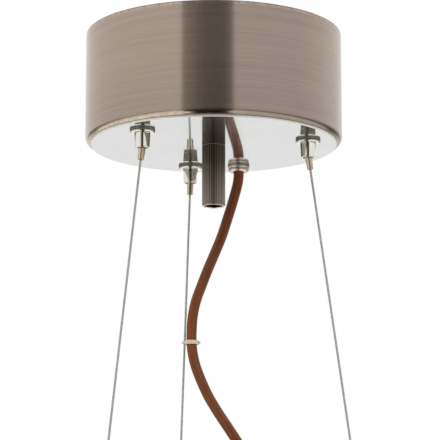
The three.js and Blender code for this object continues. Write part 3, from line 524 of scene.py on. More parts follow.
def make_brushed_bronze(low, high):
    """Antique bronze with lines round the wall and cloudy patina, and painted shade that darkens it
    towards its foot. The top edge has pale worn chips and a dark line along it. The lower edge is
    worn, with a painted highlight that is brightest on the side facing the key lamp."""
    material, tree, shader = make_material("brushed_bronze", tint(158, 144, 133), 0.22, 1)
    brushing = drawn_lines(tree, (0.005, 0.005, 1), 1900)
    streaks = spread(tree, drawn_lines(tree, (0.006, 0.006, 1), 1250), 0, 1, 0.35, 0.65)
    patina = mix(tree, mottle(tree, 22, 2), tint(168, 153, 140), tint(162, 148, 137))
    streaked = mix(tree, streaks, patina, tint(174, 158, 144))
    brushed = mix(tree, streaks, tint(157, 142, 131), tint(179, 163, 149))
    toned = mix(tree, spread(tree, brushing, 0, 1, 0.38, 0.62), streaked, brushed)
    height = place_along(tree)["Z"]
    # Painted shade: the wall grows darker towards its foot, over the painted shade's height.
    shaded_foot = mix(tree, spread(tree, height, 1, 0, low, low + PAINTED_SHADE_HEIGHT), toned, PAINTED_SHADE_TONE, "MULTIPLY")
    chips = spread(tree, mottle(tree, 260, 2.4), 0.36, 0.66)
    # Painted highlight with wear on the lower rounded edge: olive chips all round, bright cream on the side that
    # faces the key lamp.
    low_edge_wear_and_highlight = spread(tree, height, 1.5, 0, low, low + WORN_AND_HIGHLIT_EDGE_HEIGHT)
    low_wear_and_highlight = calc(tree, "MULTIPLY", low_edge_wear_and_highlight, chips, clamp=True)
    sources = {0: here(tree), 1: HIGHLIT_WORN_SIDE}
    toward = add_node(tree, "ShaderNodeVectorMath", sources, operation="DOT_PRODUCT")["Value"]
    lamp_side_wear_and_highlight = spread(tree, toward, 0, 1, HIGHLIT_WORN_SIDE_FROM, HIGHLIT_WORN_SIDE_TO)
    specks = mottle(tree, 520, 5)
    wear_and_highlight_sparkle = calc(tree, "MULTIPLY", lamp_side_wear_and_highlight, spread(tree, specks, 0.55, 1))
    rubbed_and_highlit = mix(tree, wear_and_highlight_sparkle, tint(138, 130, 113), tint(220, 207, 180))
    lower = mix(tree, low_wear_and_highlight, shaded_foot, rubbed_and_highlit)
    top_edge = spread(tree, height, 0, 1.3, high - WORN_RIM_HEIGHT, high)
    upper = mix(tree, calc(tree, "MULTIPLY", top_edge, specks, clamp=True), lower, tint(203, 181, 166))
    rim_line = spread(tree, height, 0, 0.8, high - RIM_LINE_HEIGHT, high - RIM_LINE_HEIGHT / 2)
    color = mix(tree, rim_line, upper, tint(104, 87, 76))
    shader["Anisotropic"].default_value = 1
    shader["Anisotropic Rotation"].default_value = 0.25
    around = add_node(tree, "ShaderNodeTangent", {}, direction_type="UV_MAP", uv_map="UVMap")[0]
    tree.links.new(around, shader["Tangent"])
    return dressed(material, color, spread(tree, streaks, 0.21, 0.24), brushing, 0.006 * MM, 0.4)


def make_lined_metal(name, colors, polish, patches, lines, relief):
    """Metal whose colour changes in cloudy patches and whose polish changes with fine lines.
    Patches, lines and relief hold what the patterns take."""
    material, tree, _ = make_material(name, colors[0], polish[0], 1)
    color = mix(tree, mottle(tree, *patches), *colors)
    marks = drawn_lines(tree, *lines)
    return dressed(material, color, spread(tree, marks, *polish), marks, *relief)


def cut_away(mesh, form):
    """A mesh less the closed shapes in a bmesh."""
    tool_mesh = bpy.data.meshes.new("tool")
    form.to_mesh(tool_mesh)
    form.free()
    tool = bpy.data.objects.new("tool", tool_mesh)
    bpy.context.scene.collection.objects.link(tool)
    piece = bpy.data.objects.new("work", mesh)
    cut = piece.modifiers.new("cut", "BOOLEAN")
    cut.operation = "DIFFERENCE"
    cut.solver = "EXACT"
    cut.object = tool
    result = evaluated_mesh(piece)
    bpy.data.objects.remove(tool)
    clean = bmesh.new()
    clean.from_mesh(result)
    bmesh.ops.remove_doubles(clean, verts=clean.verts, dist=SLIVER)
    bmesh.ops.dissolve_degenerate(clean, edges=clean.edges, dist=SLIVER)
    clean.to_mesh(result)
    clean.free()
    return smooth(result)


def drilled(mesh, holes, low, high, sides=48, turn=Matrix()):
    """A mesh with round holes through it, given as (x, y, radius). They run along Z from low to
    high before they are turned."""
    drills = bmesh.new()
    for x, y, radius in holes:
        size = {"segments": sides, "radius1": radius, "radius2": radius, "depth": high - low}
        place = turn @ Matrix.Translation((x, y, (low + high) / 2))
        bmesh.ops.create_cone(drills, cap_ends=True, matrix=place, **size)
    return cut_away(mesh, drills)


def two_finishes(mesh, outer, inner, is_inner):
    """A mesh with the inner material on the faces that the rule picks, and the outer elsewhere."""
    mesh.materials.clear()
    mesh.materials.append(outer)
    mesh.materials.append(inner)
    for face in mesh.polygons:
        face.material_index = int(is_inner(face))
    return mesh


def reach_of(face):
    """How far the middle of a face is from the Z axis."""
    return Vector(face.center[:2]).length


cup_low, cup_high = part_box("canopy_cup")
plate_low, plate_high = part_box("face_plate")
inside_radius = cup_high.x - CANOPY_WALL
cup = turned([
    (0, cup_low.z, 0),
    (cup_high.x, cup_low.z, CANOPY_CORNER),
    (cup_high.x, cup_high.z, PLAIN_EDGE),
    (inside_radius, cup_high.z, PLAIN_EDGE),
    (inside_radius, cup_low.z + CANOPY_WALL, CANOPY_CORNER - CANOPY_WALL),
    (0, cup_low.z + CANOPY_WALL, 0),
], CANOPY_SIDES, 10)
stems = [middle_of("gripper_nut_" + name) for name in GRIPPERS]
gland = middle_of("gland_nut")
holes = [(stem.x, stem.y, STEM_HOLE_RADIUS) for stem in stems]
holes += [(gland.x, gland.y, GLAND_HOLE_RADIUS), (0, 0, TUBE_HOLE_RADIUS)]
canopy_inside = make_lined_metal(
    "canopy_inside", (tint(208, 204, 198), tint(190, 187, 181)), (0.32, 0.52),
    patches=(45, 1.8), lines=((1, 1, 0.05), 500), relief=(0.01 * MM, 0.4),
)
cup = two_finishes(
    drilled(cup, holes, plate_low.z - MM, cup_low.z + 4 * CANOPY_WALL),
    make_brushed_bronze(cup_low.z, cup_high.z),
    canopy_inside,
    lambda face: reach_of(face) < inside_radius + CANOPY_WALL / 4 and face.normal.z > -0.5,
)
finish_piece("canopy_shell", cup, None, "canopy", "brushed_bronze", "canopy_cup")

# Face plate: a disc of stainless steel polished to a mirror on its lower side, clamped under
# the canopy by the grippers and the gland, so that it stands a little proud.
PLATE_EDGE = 0.55 * MM
HAZE_SHARE = 0.22


def make_mirror_steel():
    """Mirror polish with fine haze between its bright grains, and faint wipe marks."""
    material, tree, _ = make_material("mirror_steel", tint(230, 230, 228), 0.03, 1)
    color = mix(tree, mottle(tree, 30, 1.6), tint(214, 214, 213), tint(208, 208, 207))
    chance = add_node(tree, "ShaderNodeSeparateColor", {"Color": grains(tree, 4000)["Color"]})[0]
    hazy = calc(tree, "LESS_THAN", chance, HAZE_SHARE)
    wipes = drawn_lines(tree, (1, 0.06, 1), 900)
    return dressed(material, color, spread(tree, hazy, 0.02, 0.24), wipes, 0.0004 * MM, 0.2)


def make_satin_edge():
    """The disc's ground edge, with fine lines round it."""
    material, tree, _ = make_material("satin_edge", tint(240, 238, 233), 0.5, 0.7)
    lines = drawn_lines(tree, (0.02, 0.02, 1), 3000)
    color = mix(tree, lines, tint(232, 229, 222), tint(248, 246, 242))
    return dressed(material, color, spread(tree, lines, 0.42, 0.58))


def disc(radius, low, high, low_edge_wear_and_highlight, high_edge, sides=40):
    """A solid disc or pin round Z, with its two edges rounded."""
    profile = [(0, low, 0), (radius, low, low_edge_wear_and_highlight), (radius, high, high_edge), (0, high, 0)]
    return turned(profile, sides)


plate = disc(plate_high.x, plate_low.z, plate_high.z, PLATE_EDGE, PLATE_EDGE / 5, CANOPY_SIDES)
plate = two_finishes(
    drilled(plate, holes, plate_low.z - MM, plate_high.z + MM),
    make_mirror_steel(),
    make_satin_edge(),
    lambda face: reach_of(face) > plate_high.x - PLATE_EDGE,
)
finish_piece("mirror_disc", plate, None, "canopy", "mirror_steel", "face_plate")

# Fluted tube nut: a long round nut of dark antique nickel with straight flutes. It screws up the
# threaded tube and holds the canopy against the ceiling.
FLUTE_COUNT = 40
FLUTE_DEPTH = 0.35 * MM
FLUTE_LAND = 0.4
FLUTE_STEPS = 10
NUT_CHAMFER = 0.5 * MM
NUT_BORE = 5.05 * MM
NUT_MOUTH_BEVEL = 0.6 * MM
NUT_MERGE = 0.005 * MM
BRIGHT_LINE = 0.12 * MM
NUT_PAINTED_SHADE_FROM = 4 * MM
NUT_PAINTED_SHADE_FULL = 26 * MM


def make_ring_tree():
    """Equal copies of a slice, side by side round the Z axis and merged into one body."""
    tree, given, result = geometry_tree("ring_of_slices", {"Count": "Int", "Merge": "Float"})
    points = add_node(tree, "GeometryNodePoints", {"Count": given["Count"]})[0]
    index = add_node(tree, "GeometryNodeInputIndex", {})[0]
    angle = calc(tree, "MULTIPLY", calc(tree, "DIVIDE", index, given["Count"]), 2 * math.pi)
    turn = add_node(tree, "ShaderNodeCombineXYZ", {"Z": angle})[0]
    sources = {"Points": points, "Instance": given["Geometry"], "Rotation": turn}
    copies = add_node(tree, "GeometryNodeInstanceOnPoints", sources)[0]
    real = add_node(tree, "GeometryNodeRealizeInstances", {"Geometry": copies})[0]
    whole = add_node(tree, "GeometryNodeMergeByDistance", {"Geometry": real, "Distance": given["Merge"]})
    return end_tree(tree, whole[0], given, result)


def flute_slice(radius, low, high):
    """One flute of the nut with the land beside it, from the bore round the outside and back."""
    form = bmesh.new()
    columns = []
    for i in range(FLUTE_STEPS + 1):
        share = i / FLUTE_STEPS
        groove = max(0.0, (share - FLUTE_LAND) / (1 - FLUTE_LAND))
        depth = FLUTE_DEPTH * math.sin(math.pi * groove) ** 0.7
        angle = 2 * math.pi * share / FLUTE_COUNT
        profile = [
            (NUT_BORE, high - NUT_MOUTH_BEVEL),
            (NUT_BORE, low + NUT_MOUTH_BEVEL),
            (NUT_BORE + NUT_MOUTH_BEVEL, low),
            (radius - NUT_CHAMFER - FLUTE_DEPTH, low),
            (radius - NUT_CHAMFER, low + NUT_CHAMFER * 0.15),
            (radius - FLUTE_DEPTH, low + NUT_CHAMFER),
            (radius - depth, low + NUT_CHAMFER + FLUTE_DEPTH),
            (radius - depth, high),
            (NUT_BORE + NUT_MOUTH_BEVEL, high),
        ]
        columns.append([form.verts.new(polar(r, angle, z)) for r, z in profile])
    add_walls(form, columns[::-1])
    return form_mesh(form)


def make_dark_fluted(radius, low, high):
    """Dark antique nickel: brighter on the lands, near black in the flutes, and polished pale on its
    ends. Lit and shaded copies of these colours paint light on its lower part and shade towards the canopy."""
    material, tree, _ = make_material("dark_fluted", tint(118, 108, 98), 0.32, 1)
    place = place_along(tree)
    squares = [calc(tree, "POWER", place[axis], 2) for axis in ("X", "Y")]
    reach = calc(tree, "SQRT", calc(tree, "ADD", *squares))
    raised = spread(tree, reach, 0, 1, radius - FLUTE_DEPTH, radius - FLUTE_DEPTH * 0.15)
    marks = drawn_lines(tree, (1, 1, 0.04), 900)
    land = mix(tree, marks, tint(104, 95, 86), tint(146, 136, 124))
    # The lit copy of the colours, for painted light low on the nut; the one below is the shaded copy.
    lit_land = mix(tree, marks, tint(138, 127, 116), tint(182, 170, 157))
    dark = mix(tree, raised, tint(46, 41, 37), land)
    lit_copy = mix(tree, raised, tint(92, 84, 76), lit_land)
    # Painted light and shade: the lit copy low on the nut fades into the shaded copy towards the canopy.
    painted_light_low = spread(tree, place["Z"], 1, 0, low + NUT_PAINTED_SHADE_FROM, low + NUT_PAINTED_SHADE_FULL)
    foot = calc(tree, "LESS_THAN", place["Z"], low + NUT_CHAMFER * 0.8)
    head = calc(tree, "GREATER_THAN", place["Z"], high - BRIGHT_LINE)
    end = calc(tree, "MAXIMUM", foot, head)
    color = mix(tree, end, mix(tree, painted_light_low, dark, lit_copy), tint(214, 205, 195))
    return dressed(material, color, spread(tree, marks, 0.3, 0.48), marks, 0.01 * MM, 0.5)


nut_low, nut_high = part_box("fluted_nut")
dark_fluted = make_dark_fluted(nut_high.x, nut_low.z, nut_high.z)
values = {"Count": FLUTE_COUNT, "Merge": NUT_MERGE, "Finish": dark_fluted}
nut = apply_tree(flute_slice(nut_high.x, nut_low.z, nut_high.z), make_ring_tree(), values)
finish_piece("tube_nut_fluted", smooth(nut, 40), dark_fluted, "tube_nut", "dark_fluted", "fluted_nut")

# Wire grippers: a chromed brass body whose flange clamps the face plate, held by a nut inside
# the canopy. In it a spring presses split jaws down a cone onto the wire, and the swivelling
# nozzle lifts them when it is pushed up. The spring rests under a round plug.
STEM_RADIUS = 3.9 * MM
STEM_PITCH = 1 * MM
STEM_THREAD_DEPTH = 0.5 * MM
FLANGE_RADIUS = 7.25 * MM
FLANGE_THICKNESS = 2 * MM
FLANGE_EDGE = 0.9 * MM
BARREL_RADIUS = 4.55 * MM
BARREL_TIP_RADIUS = 4.05 * MM
BARREL_EDGE = 0.5 * MM
SEAT_GAP = 0.05 * MM
SEAT_EDGE = 0.06 * MM
MOUTH_RADIUS = 3 * MM
MOUTH_LIP = 1.3 * MM
CHAMBER_RADIUS = 3.45 * MM
CHAMBER_TOP = -5.7 * MM
CONE_FOOT_RADIUS = 2.1 * MM
CONE_FOOT = -5.2 * MM
CONE_TOP_RADIUS = 3.17 * MM
CONE_TOP = 1.6 * MM
GRIPPER_NUT_FLATS = 13 * MM
NOZZLE_RADIUS = 2.15 * MM
NOZZLE_TIP_RADIUS = 1.8 * MM
NOZZLE_REACH = 9.6 * MM
NOZZLE_BORE = 0.95 * MM
BALL_RADIUS = 3.1 * MM
BALL_HALF_HEIGHT = 1.3 * MM
SPIGOT_RADIUS = 1.6 * MM
SPIGOT_REACH = 1.9 * MM
PLUG_RADIUS = 3 * MM
PLUG_THICKNESS = 2 * MM
PLUG_RECESS = 0.2 * MM
SPRING_CURLS = 6
SPRING_WIRE_RADIUS = 0.3 * MM
JAW_EDGE = 0.06 * MM


def make_chrome():
    """Bright chrome plate on polished brass, with hairline handling marks."""
    material, tree, _ = make_material("chrome_plate", tint(226, 225, 217), 0.07, 1)
    marks = mottle(tree, 300, 1.5)
    color = mix(tree, marks, tint(230, 229, 221), tint(216, 215, 206))
    lines = drawn_lines(tree, (0.05, 0.05, 1), 2500)
    return dressed(material, color, spread(tree, marks, 0.05, 0.11), lines, 0.002 * MM, 0.3)


def make_turned_metal(name, pale, deep, low, high):
    """Turned metal with fine tool lines across its axis and a little tarnish."""
    lines = ((0.08, 0.08, 1), 3500)
    return make_lined_metal(name, (pale, deep), (low, high), (400, 2), lines, (0.006 * MM, 0.5))


CHROME = make_chrome()
PALE_BRASS = make_turned_metal("pale_brass", tint(206, 190, 164), tint(184, 166, 138), 0.12, 0.2)
BRASS = make_turned_metal("turned_brass", tint(214, 186, 112), tint(186, 152, 84), 0.2, 0.38)
SPRING_STEEL = make_turned_metal("spring_steel", tint(170, 173, 176), tint(132, 134, 138), 0.25, 0.4)


def gripper_body(tip, stem_top):
    """The flanged body on its threaded stem, hollowed to a cone for the jaws. Its flange lies
    against z = 0."""
    core = STEM_RADIUS - STEM_THREAD_DEPTH
    flange_low = -(SEAT_GAP + FLANGE_THICKNESS)
    shape = turned([
        (CONE_TOP_RADIUS, stem_top, 0),
        (CONE_TOP_RADIUS, CONE_TOP, 0),
        (CONE_FOOT_RADIUS, CONE_FOOT, 0),
        (CHAMBER_RADIUS, CHAMBER_TOP, 0),
        (CHAMBER_RADIUS, tip + MOUTH_LIP, 0),
        (MOUTH_RADIUS, tip + MOUTH_LIP, FINE_EDGE),
        (MOUTH_RADIUS, tip, SOFT_EDGE),
        (BARREL_TIP_RADIUS, tip, BARREL_EDGE),
        (BARREL_RADIUS, flange_low, SOFT_EDGE),
        (FLANGE_RADIUS, flange_low, FLANGE_EDGE),
        (FLANGE_RADIUS, -SEAT_GAP, SEAT_EDGE),
        (core, -SEAT_GAP, 0),
        (core, stem_top, PLAIN_EDGE),
    ], 96, 6)
    stem = (STEM_RADIUS, STEM_PITCH, stem_top - STEM_PITCH, STEM_PITCH, STEM_THREAD_DEPTH)
    return threaded(shape, *stem, CHROME)


def gripper_nozzle():
    """The release nozzle with its ball, round the middle of the ball."""
    edge = math.sqrt(BALL_RADIUS ** 2 - BALL_HALF_HEIGHT ** 2)
    levels = [BALL_HALF_HEIGHT * (i / 6 - 1) for i in range(13)]
    return turned([
        (NOZZLE_BORE, -NOZZLE_REACH, CRISP_EDGE),
        (NOZZLE_TIP_RADIUS, -NOZZLE_REACH, BROAD_EDGE),
        (NOZZLE_RADIUS, -BALL_HALF_HEIGHT - (edge - NOZZLE_RADIUS) / 2, 0),
        *[(math.sqrt(BALL_RADIUS ** 2 - z ** 2), z, 0) for z in levels],
        (SPIGOT_RADIUS, BALL_HALF_HEIGHT, 0),
        (SPIGOT_RADIUS, SPIGOT_REACH, CRISP_EDGE),
        (NOZZLE_BORE, SPIGOT_REACH, FINE_EDGE),
    ], 64, 5)


def gripper_plug(top):
    """The round plug above the spring, with a hole for the wire."""
    return turned([
        (NOZZLE_BORE, top - PLUG_THICKNESS, 0),
        (PLUG_RADIUS, top - PLUG_THICKNESS, FINE_EDGE),
        (PLUG_RADIUS, top, SOFT_EDGE),
        (NOZZLE_BORE, top, SOFT_EDGE),
    ], 48)


def gripper_spring(low, high):
    """The jaws' coil spring between the corners of its box, round the Z axis."""
    return smooth(apply_tree(bpy.data.meshes.new("empty"), HELIX, {
        "Reach": (high.x - low.x) / 2 - SPRING_WIRE_RADIUS,
        "Wire": SPRING_WIRE_RADIUS,
        "Height": high.z - low.z - 2 * SPRING_WIRE_RADIUS,
        "Bottom": low.z + SPRING_WIRE_RADIUS,
        "Turns": SPRING_CURLS,
        "Steps": 28,
        "Sides": 10,
        "Finish": SPRING_STEEL,
    }))


def softened(node, edge):
    """A copy of a CAD node's mesh with its edges rounded."""
    mesh = frame["nodes"][node].data.copy()
    mesh.materials.clear()
    form = bmesh.new()
    form.from_mesh(mesh)
    bmesh.ops.remove_doubles(form, verts=form.verts, dist=0.001 * MM)
    bmesh.ops.dissolve_limit(form, angle_limit=math.radians(1), verts=form.verts, edges=form.edges)
    form.to_mesh(mesh)
    form.free()
    piece = bpy.data.objects.new("work", mesh)
    round_off = piece.modifiers.new("edges", "BEVEL")
    round_off.width = edge
    round_off.segments = 3
    round_off.limit_method = "ANGLE"
    round_off.angle_limit = math.radians(40)
    round_off.harden_normals = False
    return smooth(evaluated_mesh(piece))


def wire_frame(name):
    """The matrix that takes a straight wire, hanging down from the origin, to its gripper's
    pivot and its own lean, and the wire's length."""
    joint = next(j for j in frame["joints"] if j["name"] == "wire_swing_" + name)
    mount = next(m for m in frame["record"]["mounts"] if m["name"] == "wire_end_" + name)
    pivot = Vector(joint["pos_m"])
    fall = Vector(mount["pos_m"]) - pivot
    turn = Vector((0, 0, -1)).rotation_difference(fall.normalized()).to_matrix().to_4x4()
    return Matrix.Translation(pivot) @ turn, fall.length


barrel_tip, stem_top = [corner.z - plate_low.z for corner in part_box("gripper_body_left")]
for name, stem in zip(GRIPPERS, stems):
    spot = (stem.x, stem.y, plate_low.z)
    barrel = placed(gripper_body(barrel_tip, stem_top), *spot)
    finish_piece("gripper_barrel_" + name, barrel, CHROME, "canopy", "chrome", "gripper_body_" + name)
    fit_nut("gripper_lock_nut_" + name, "gripper_nut_" + name, GRIPPER_NUT_FLATS, STEM_RADIUS, "canopy")
    plug = placed(gripper_plug(stem_top - PLUG_RECESS), *spot)
    finish_piece("gripper_end_plug_" + name, plug, ZINC, "canopy", "zinc_steel", "gripper_plug_" + name)
    low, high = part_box("gripper_spring_" + name)
    coil = placed(gripper_spring(low, high), stem.x, stem.y, 0)
    coil = finish_piece(
        "jaw_spring_" + name, coil, SPRING_STEEL, "canopy", "spring_steel", "gripper_spring_" + name,
    )
    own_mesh(coil)
    jaws = softened("gripper_jaws_" + name, JAW_EDGE)
    finish_piece("split_jaws_" + name, jaws, BRASS, "jaws_" + name, "brass", "gripper_jaws_" + name)
    nozzle = gripper_nozzle()
    nozzle.transform(wire_frame(name)[0])
    finish_piece(
        "swivel_nozzle_" + name, nozzle, PALE_BRASS, "nozzle_" + name, "pale_brass", "gripper_nozzle_" + name,
    )

# Suspension wires: six strands of galvanised steel laid round a seventh. Each runs up through
# its gripper into the canopy, and ends below in a swaged fitting where the lamp body hangs.
WIRE_RADIUS = 0.7 * MM
STRAND_RADIUS = WIRE_RADIUS / 3
STRAND_SIDES = 8
WIRE_LAY = 9 * MM
WIRE_STEP = WIRE_LAY / 14
FITTING_RADIUS = 1.9 * MM
FITTING_LENGTH = 11 * MM
FITTING_FOOT_RADIUS = 4 * MM
FITTING_FOOT_THICKNESS = 2.5 * MM
FITTING_SOCKET_DEPTH = 7 * MM
FITTING_SOCKET_RADIUS = WIRE_RADIUS + 0.25 * MM
WIRE_TOP = 1.5 * MM
TAIL_IN_JAWS = 0.6 * MM
TAIL_RISE = 14 * MM
TAIL_STRAIGHT = 3 * MM
TAIL_BEND = 4 * MM


def make_wire_steel():
    """Galvanised steel wire: grey, with darker furrows and a soft shine."""
    material, tree, _ = make_material("wire_steel", tint(206, 208, 201), 0.4, 0.8)
    patches = mottle(tree, 700, 2)
    color = mix(tree, patches, tint(212, 214, 207), tint(190, 192, 185))
    return dressed(material, color, spread(tree, patches, 0.36, 0.48))


def axes_along(points):
    """For each point of a path its direction and two directions across it that don't twist."""
    last = len(points) - 1
    directions = [(points[min(i + 1, last)] - points[max(i - 1, 0)]).normalized() for i in range(last + 1)]
    across = directions[0].orthogonal().normalized()
    axes = []
    for direction in directions:
        across = (across - direction * across.dot(direction)).normalized()
        axes.append((direction, across, direction.cross(across)))
    return axes


def spoke(axes, angle):
    """The direction across a path at that angle."""
    return axes[1] * math.cos(angle) + axes[2] * math.sin(angle)


def add_tube(form, points, radius, sides, reach=0.0, turns=None):
    """Adds a round tube along points to a bmesh, with flat ends. With turns it winds round the
    path at that reach, and turns holds its angle at each point. Its UV map isn't the one that
    turned bodies have."""
    form.loops.layers.uv.verify()
    if turns:
        points = [p + spoke(axes, turn) * reach for p, axes, turn in zip(points, axes_along(points), turns)]
    angles = [2 * math.pi * s / sides for s in range(sides)]
    rings = []
    for point, axes in zip(points, axes_along(points)):
        rings.append([form.verts.new(point + spoke(axes, angle) * radius) for angle in angles])
    add_walls(form, rings, distances(points))
    form.faces.new(rings[0][::-1])
    form.faces.new(rings[-1])


def stranded_wire(points):
    """A seven-strand wire along a path."""
    form = bmesh.new()
    add_tube(form, points, STRAND_RADIUS, STRAND_SIDES)
    for strand in range(6):
        turns = [2 * math.pi * (strand / 6 + length / WIRE_LAY) for length in distances(points)]
        add_tube(form, points, STRAND_RADIUS, STRAND_SIDES, 2 * STRAND_RADIUS, turns)
    return form_mesh(form, 50)


def straight_path(start, end, step):
    """A straight line cut into steps of about that length."""
    count = max(2, math.ceil((end - start).length / step))
    return [start.lerp(end, i / count) for i in range(count + 1)]


def smooth_path(points, step):
    """A centripetal Catmull-Rom curve through points, cut into steps of about that length."""
    ends = [points[0] * 2 - points[1], *points, points[-1] * 2 - points[-2]]
    path = []
    for four in zip(ends, ends[1:], ends[2:], ends[3:]):
        knots = [0.0]
        for a, b in zip(four, four[1:]):
            knots.append(knots[-1] + max((b - a).length, 1e-9) ** 0.5)
        count = max(1, math.ceil((four[2] - four[1]).length / step))
        for i in range(count):
            t = knots[1] + (knots[2] - knots[1]) * i / count
            row = four
            for spans in (((0, 1), (1, 2), (2, 3)), ((0, 2), (1, 3)), ((1, 2),)):
                shares = [(t - knots[first]) / (knots[last] - knots[first]) for first, last in spans]
                row = [a.lerp(b, share) for a, b, share in zip(row, row[1:], shares)]
            path.append(row[0])
    path.append(points[-1].copy())
    return path


def end_fitting(depth):
    """A wire's swaged end with its foot, on a wire that hangs that far down from the origin."""
    top = FITTING_LENGTH - depth
    foot_top = FITTING_FOOT_THICKNESS - depth
    return turned([
        (0, -depth, 0),
        (FITTING_FOOT_RADIUS, -depth, BROAD_EDGE),
        (FITTING_FOOT_RADIUS, foot_top, BROAD_EDGE),
        (FITTING_RADIUS, foot_top, 0.5 * MM),
        (FITTING_RADIUS, top, 0.6 * MM),
        (FITTING_SOCKET_RADIUS, top, CRISP_EDGE),
        (FITTING_SOCKET_RADIUS, top - FITTING_SOCKET_DEPTH, 0),
        (0, top - FITTING_SOCKET_DEPTH, 0),
    ], 64, 5)


WIRE_STEEL = make_wire_steel()
for name, stem in zip(GRIPPERS, stems):
    hang, depth = wire_frame(name)
    fitting = end_fitting(depth)
    fitting.transform(hang)
    body = "wire_" + name
    fitting = finish_piece(
        "wire_end_fitting_" + name, fitting, CHROME, body, "chrome", "wire_fitting_" + name,
    )
    top = hang @ Vector((0, 0, WIRE_TOP))
    bottom = hang @ Vector((0, 0, FITTING_LENGTH - FITTING_SOCKET_DEPTH - depth))
    path = straight_path(top, bottom, WIRE_STEP)
    wire = stranded_wire(path)
    wire = finish_piece("suspension_wire_" + name, wire, WIRE_STEEL, body, "wire_steel", body)
    inward = -Vector((stem.x, stem.y, 0)).normalized() * TAIL_BEND
    jaws_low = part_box("gripper_jaws_" + name)[0].z
    above = plate_low.z + stem_top
    tail = smooth_path([
        Vector((stem.x, stem.y, jaws_low + TAIL_IN_JAWS)),
        Vector((stem.x, stem.y, plate_low.z + stem_top * 0.5)),
        Vector((stem.x, stem.y, above + TAIL_STRAIGHT)),
        Vector((stem.x, stem.y, above + TAIL_RISE * 0.6)) + inward * 0.3,
        Vector((stem.x, stem.y, above + TAIL_RISE)) + inward,
    ], WIRE_STEP)
    spare = stranded_wire(tail)
    finish_piece("spare_wire_" + name, spare, WIRE_STEEL, "canopy", "wire_steel", "wire_tail_" + name)

# Cord gland: a satin-plated body through both plates, held by a nut, and below it a domed cap
# that closes on the cord. A rubber sleeve sits in the top of the body.
GLAND_STEM_RADIUS = 5 * MM
GLAND_FLANGE_RADIUS = 6.6 * MM
GLAND_FLANGE_THICKNESS = 1.8 * MM
GLAND_FLANGE_EDGE = 0.8 * MM
GLAND_NECK_RADIUS = 4.6 * MM
GLAND_NECK_FALL = 3.4 * MM
GLAND_NUT_FLATS = 14 * MM
GLAND_CAP_EDGE = 1.6 * MM
CORD_RADIUS = 3.1 * MM
CORD_HOLE_RADIUS = 3.4 * MM
SEAL_WALL = 0.9 * MM
SEAL_DEPTH = 5 * MM
SEAL_PLAY = 0.1 * MM


def make_rubber():
    """Matt black rubber with a fine grain."""
    material, tree, _ = make_material("black_rubber", tint(34, 33, 33), 0.7, 0)
    dust = mottle(tree, 250, 2)
    color = mix(tree, dust, tint(30, 29, 29), tint(52, 50, 48))
    grain = noise(tree, here(tree), 3000, 3)
    return dressed(material, color, spread(tree, dust, 0.6, 0.82), grain, 0.02 * MM, 0.5)


BLACK_RUBBER = make_rubber()
SATIN_NICKEL = make_turned_metal("satin_nickel", tint(224, 215, 203), tint(204, 193, 179), 0.24, 0.36)
stem_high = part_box("gland_body")[1].z - plate_low.z
flange_low = -(SEAT_GAP + GLAND_FLANGE_THICKNESS)
seal_radius = CORD_HOLE_RADIUS + SEAL_WALL
gland_core = GLAND_STEM_RADIUS - STEM_THREAD_DEPTH
gland_body = turned([
    (CORD_HOLE_RADIUS, -GLAND_NECK_FALL, FINE_EDGE),
    (GLAND_NECK_RADIUS, -GLAND_NECK_FALL, SOFT_EDGE),
    (GLAND_NECK_RADIUS, flange_low, 0),
    (GLAND_FLANGE_RADIUS, flange_low, GLAND_FLANGE_EDGE),
    (GLAND_FLANGE_RADIUS, -SEAT_GAP, SEAT_EDGE),
    (gland_core, -SEAT_GAP, 0),
    (gland_core, stem_high, CRISP_EDGE),
    (seal_radius, stem_high, 0),
    (seal_radius, stem_high - SEAL_DEPTH, 0),
    (CORD_HOLE_RADIUS, stem_high - SEAL_DEPTH, 0),
], 96, 6)
gland_stem = (GLAND_STEM_RADIUS, STEM_PITCH, stem_high - STEM_PITCH, STEM_PITCH, STEM_THREAD_DEPTH)
gland_body = placed(threaded(gland_body, *gland_stem, SATIN_NICKEL), gland.x, gland.y, plate_low.z)
finish_piece("gland_barrel", gland_body, SATIN_NICKEL, "canopy", "chrome", "gland_body")
cap_low, cap_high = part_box("gland_cap")
cap_radius = (cap_high.x - cap_low.x) / 2
cap = turned([
    (CORD_HOLE_RADIUS, cap_low.z, PLAIN_EDGE),
    (cap_radius, cap_low.z, GLAND_CAP_EDGE),
    (cap_radius, cap_high.z, BROAD_EDGE),
    (GLAND_NECK_RADIUS, cap_high.z, 0),
    (GLAND_NECK_RADIUS, plate_low.z - GLAND_NECK_FALL, 0),
    (CORD_HOLE_RADIUS, plate_low.z - GLAND_NECK_FALL, 0),
], 96, 8)
cap = placed(cap, gland.x, gland.y, 0)
finish_piece("gland_dome", cap, SATIN_NICKEL, "canopy", "chrome", "gland_cap")
seal_low, seal_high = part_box("gland_seal")
seal = turned([
    (CORD_RADIUS, seal_low.z, 0),
    (seal_radius - SEAL_PLAY, seal_low.z, SOFT_EDGE),
    (seal_radius - SEAL_PLAY, seal_high.z, BROAD_EDGE),
    (CORD_RADIUS, seal_high.z, FINE_EDGE),
], 48)
seal = placed(seal, gland.x, gland.y, 0)
finish_piece("gland_sleeve", seal, BLACK_RUBBER, "canopy", "black_rubber", "gland_seal")
fit_nut("gland_lock_nut", "gland_nut", GLAND_NUT_FLATS, GLAND_STEM_RADIUS, "canopy")

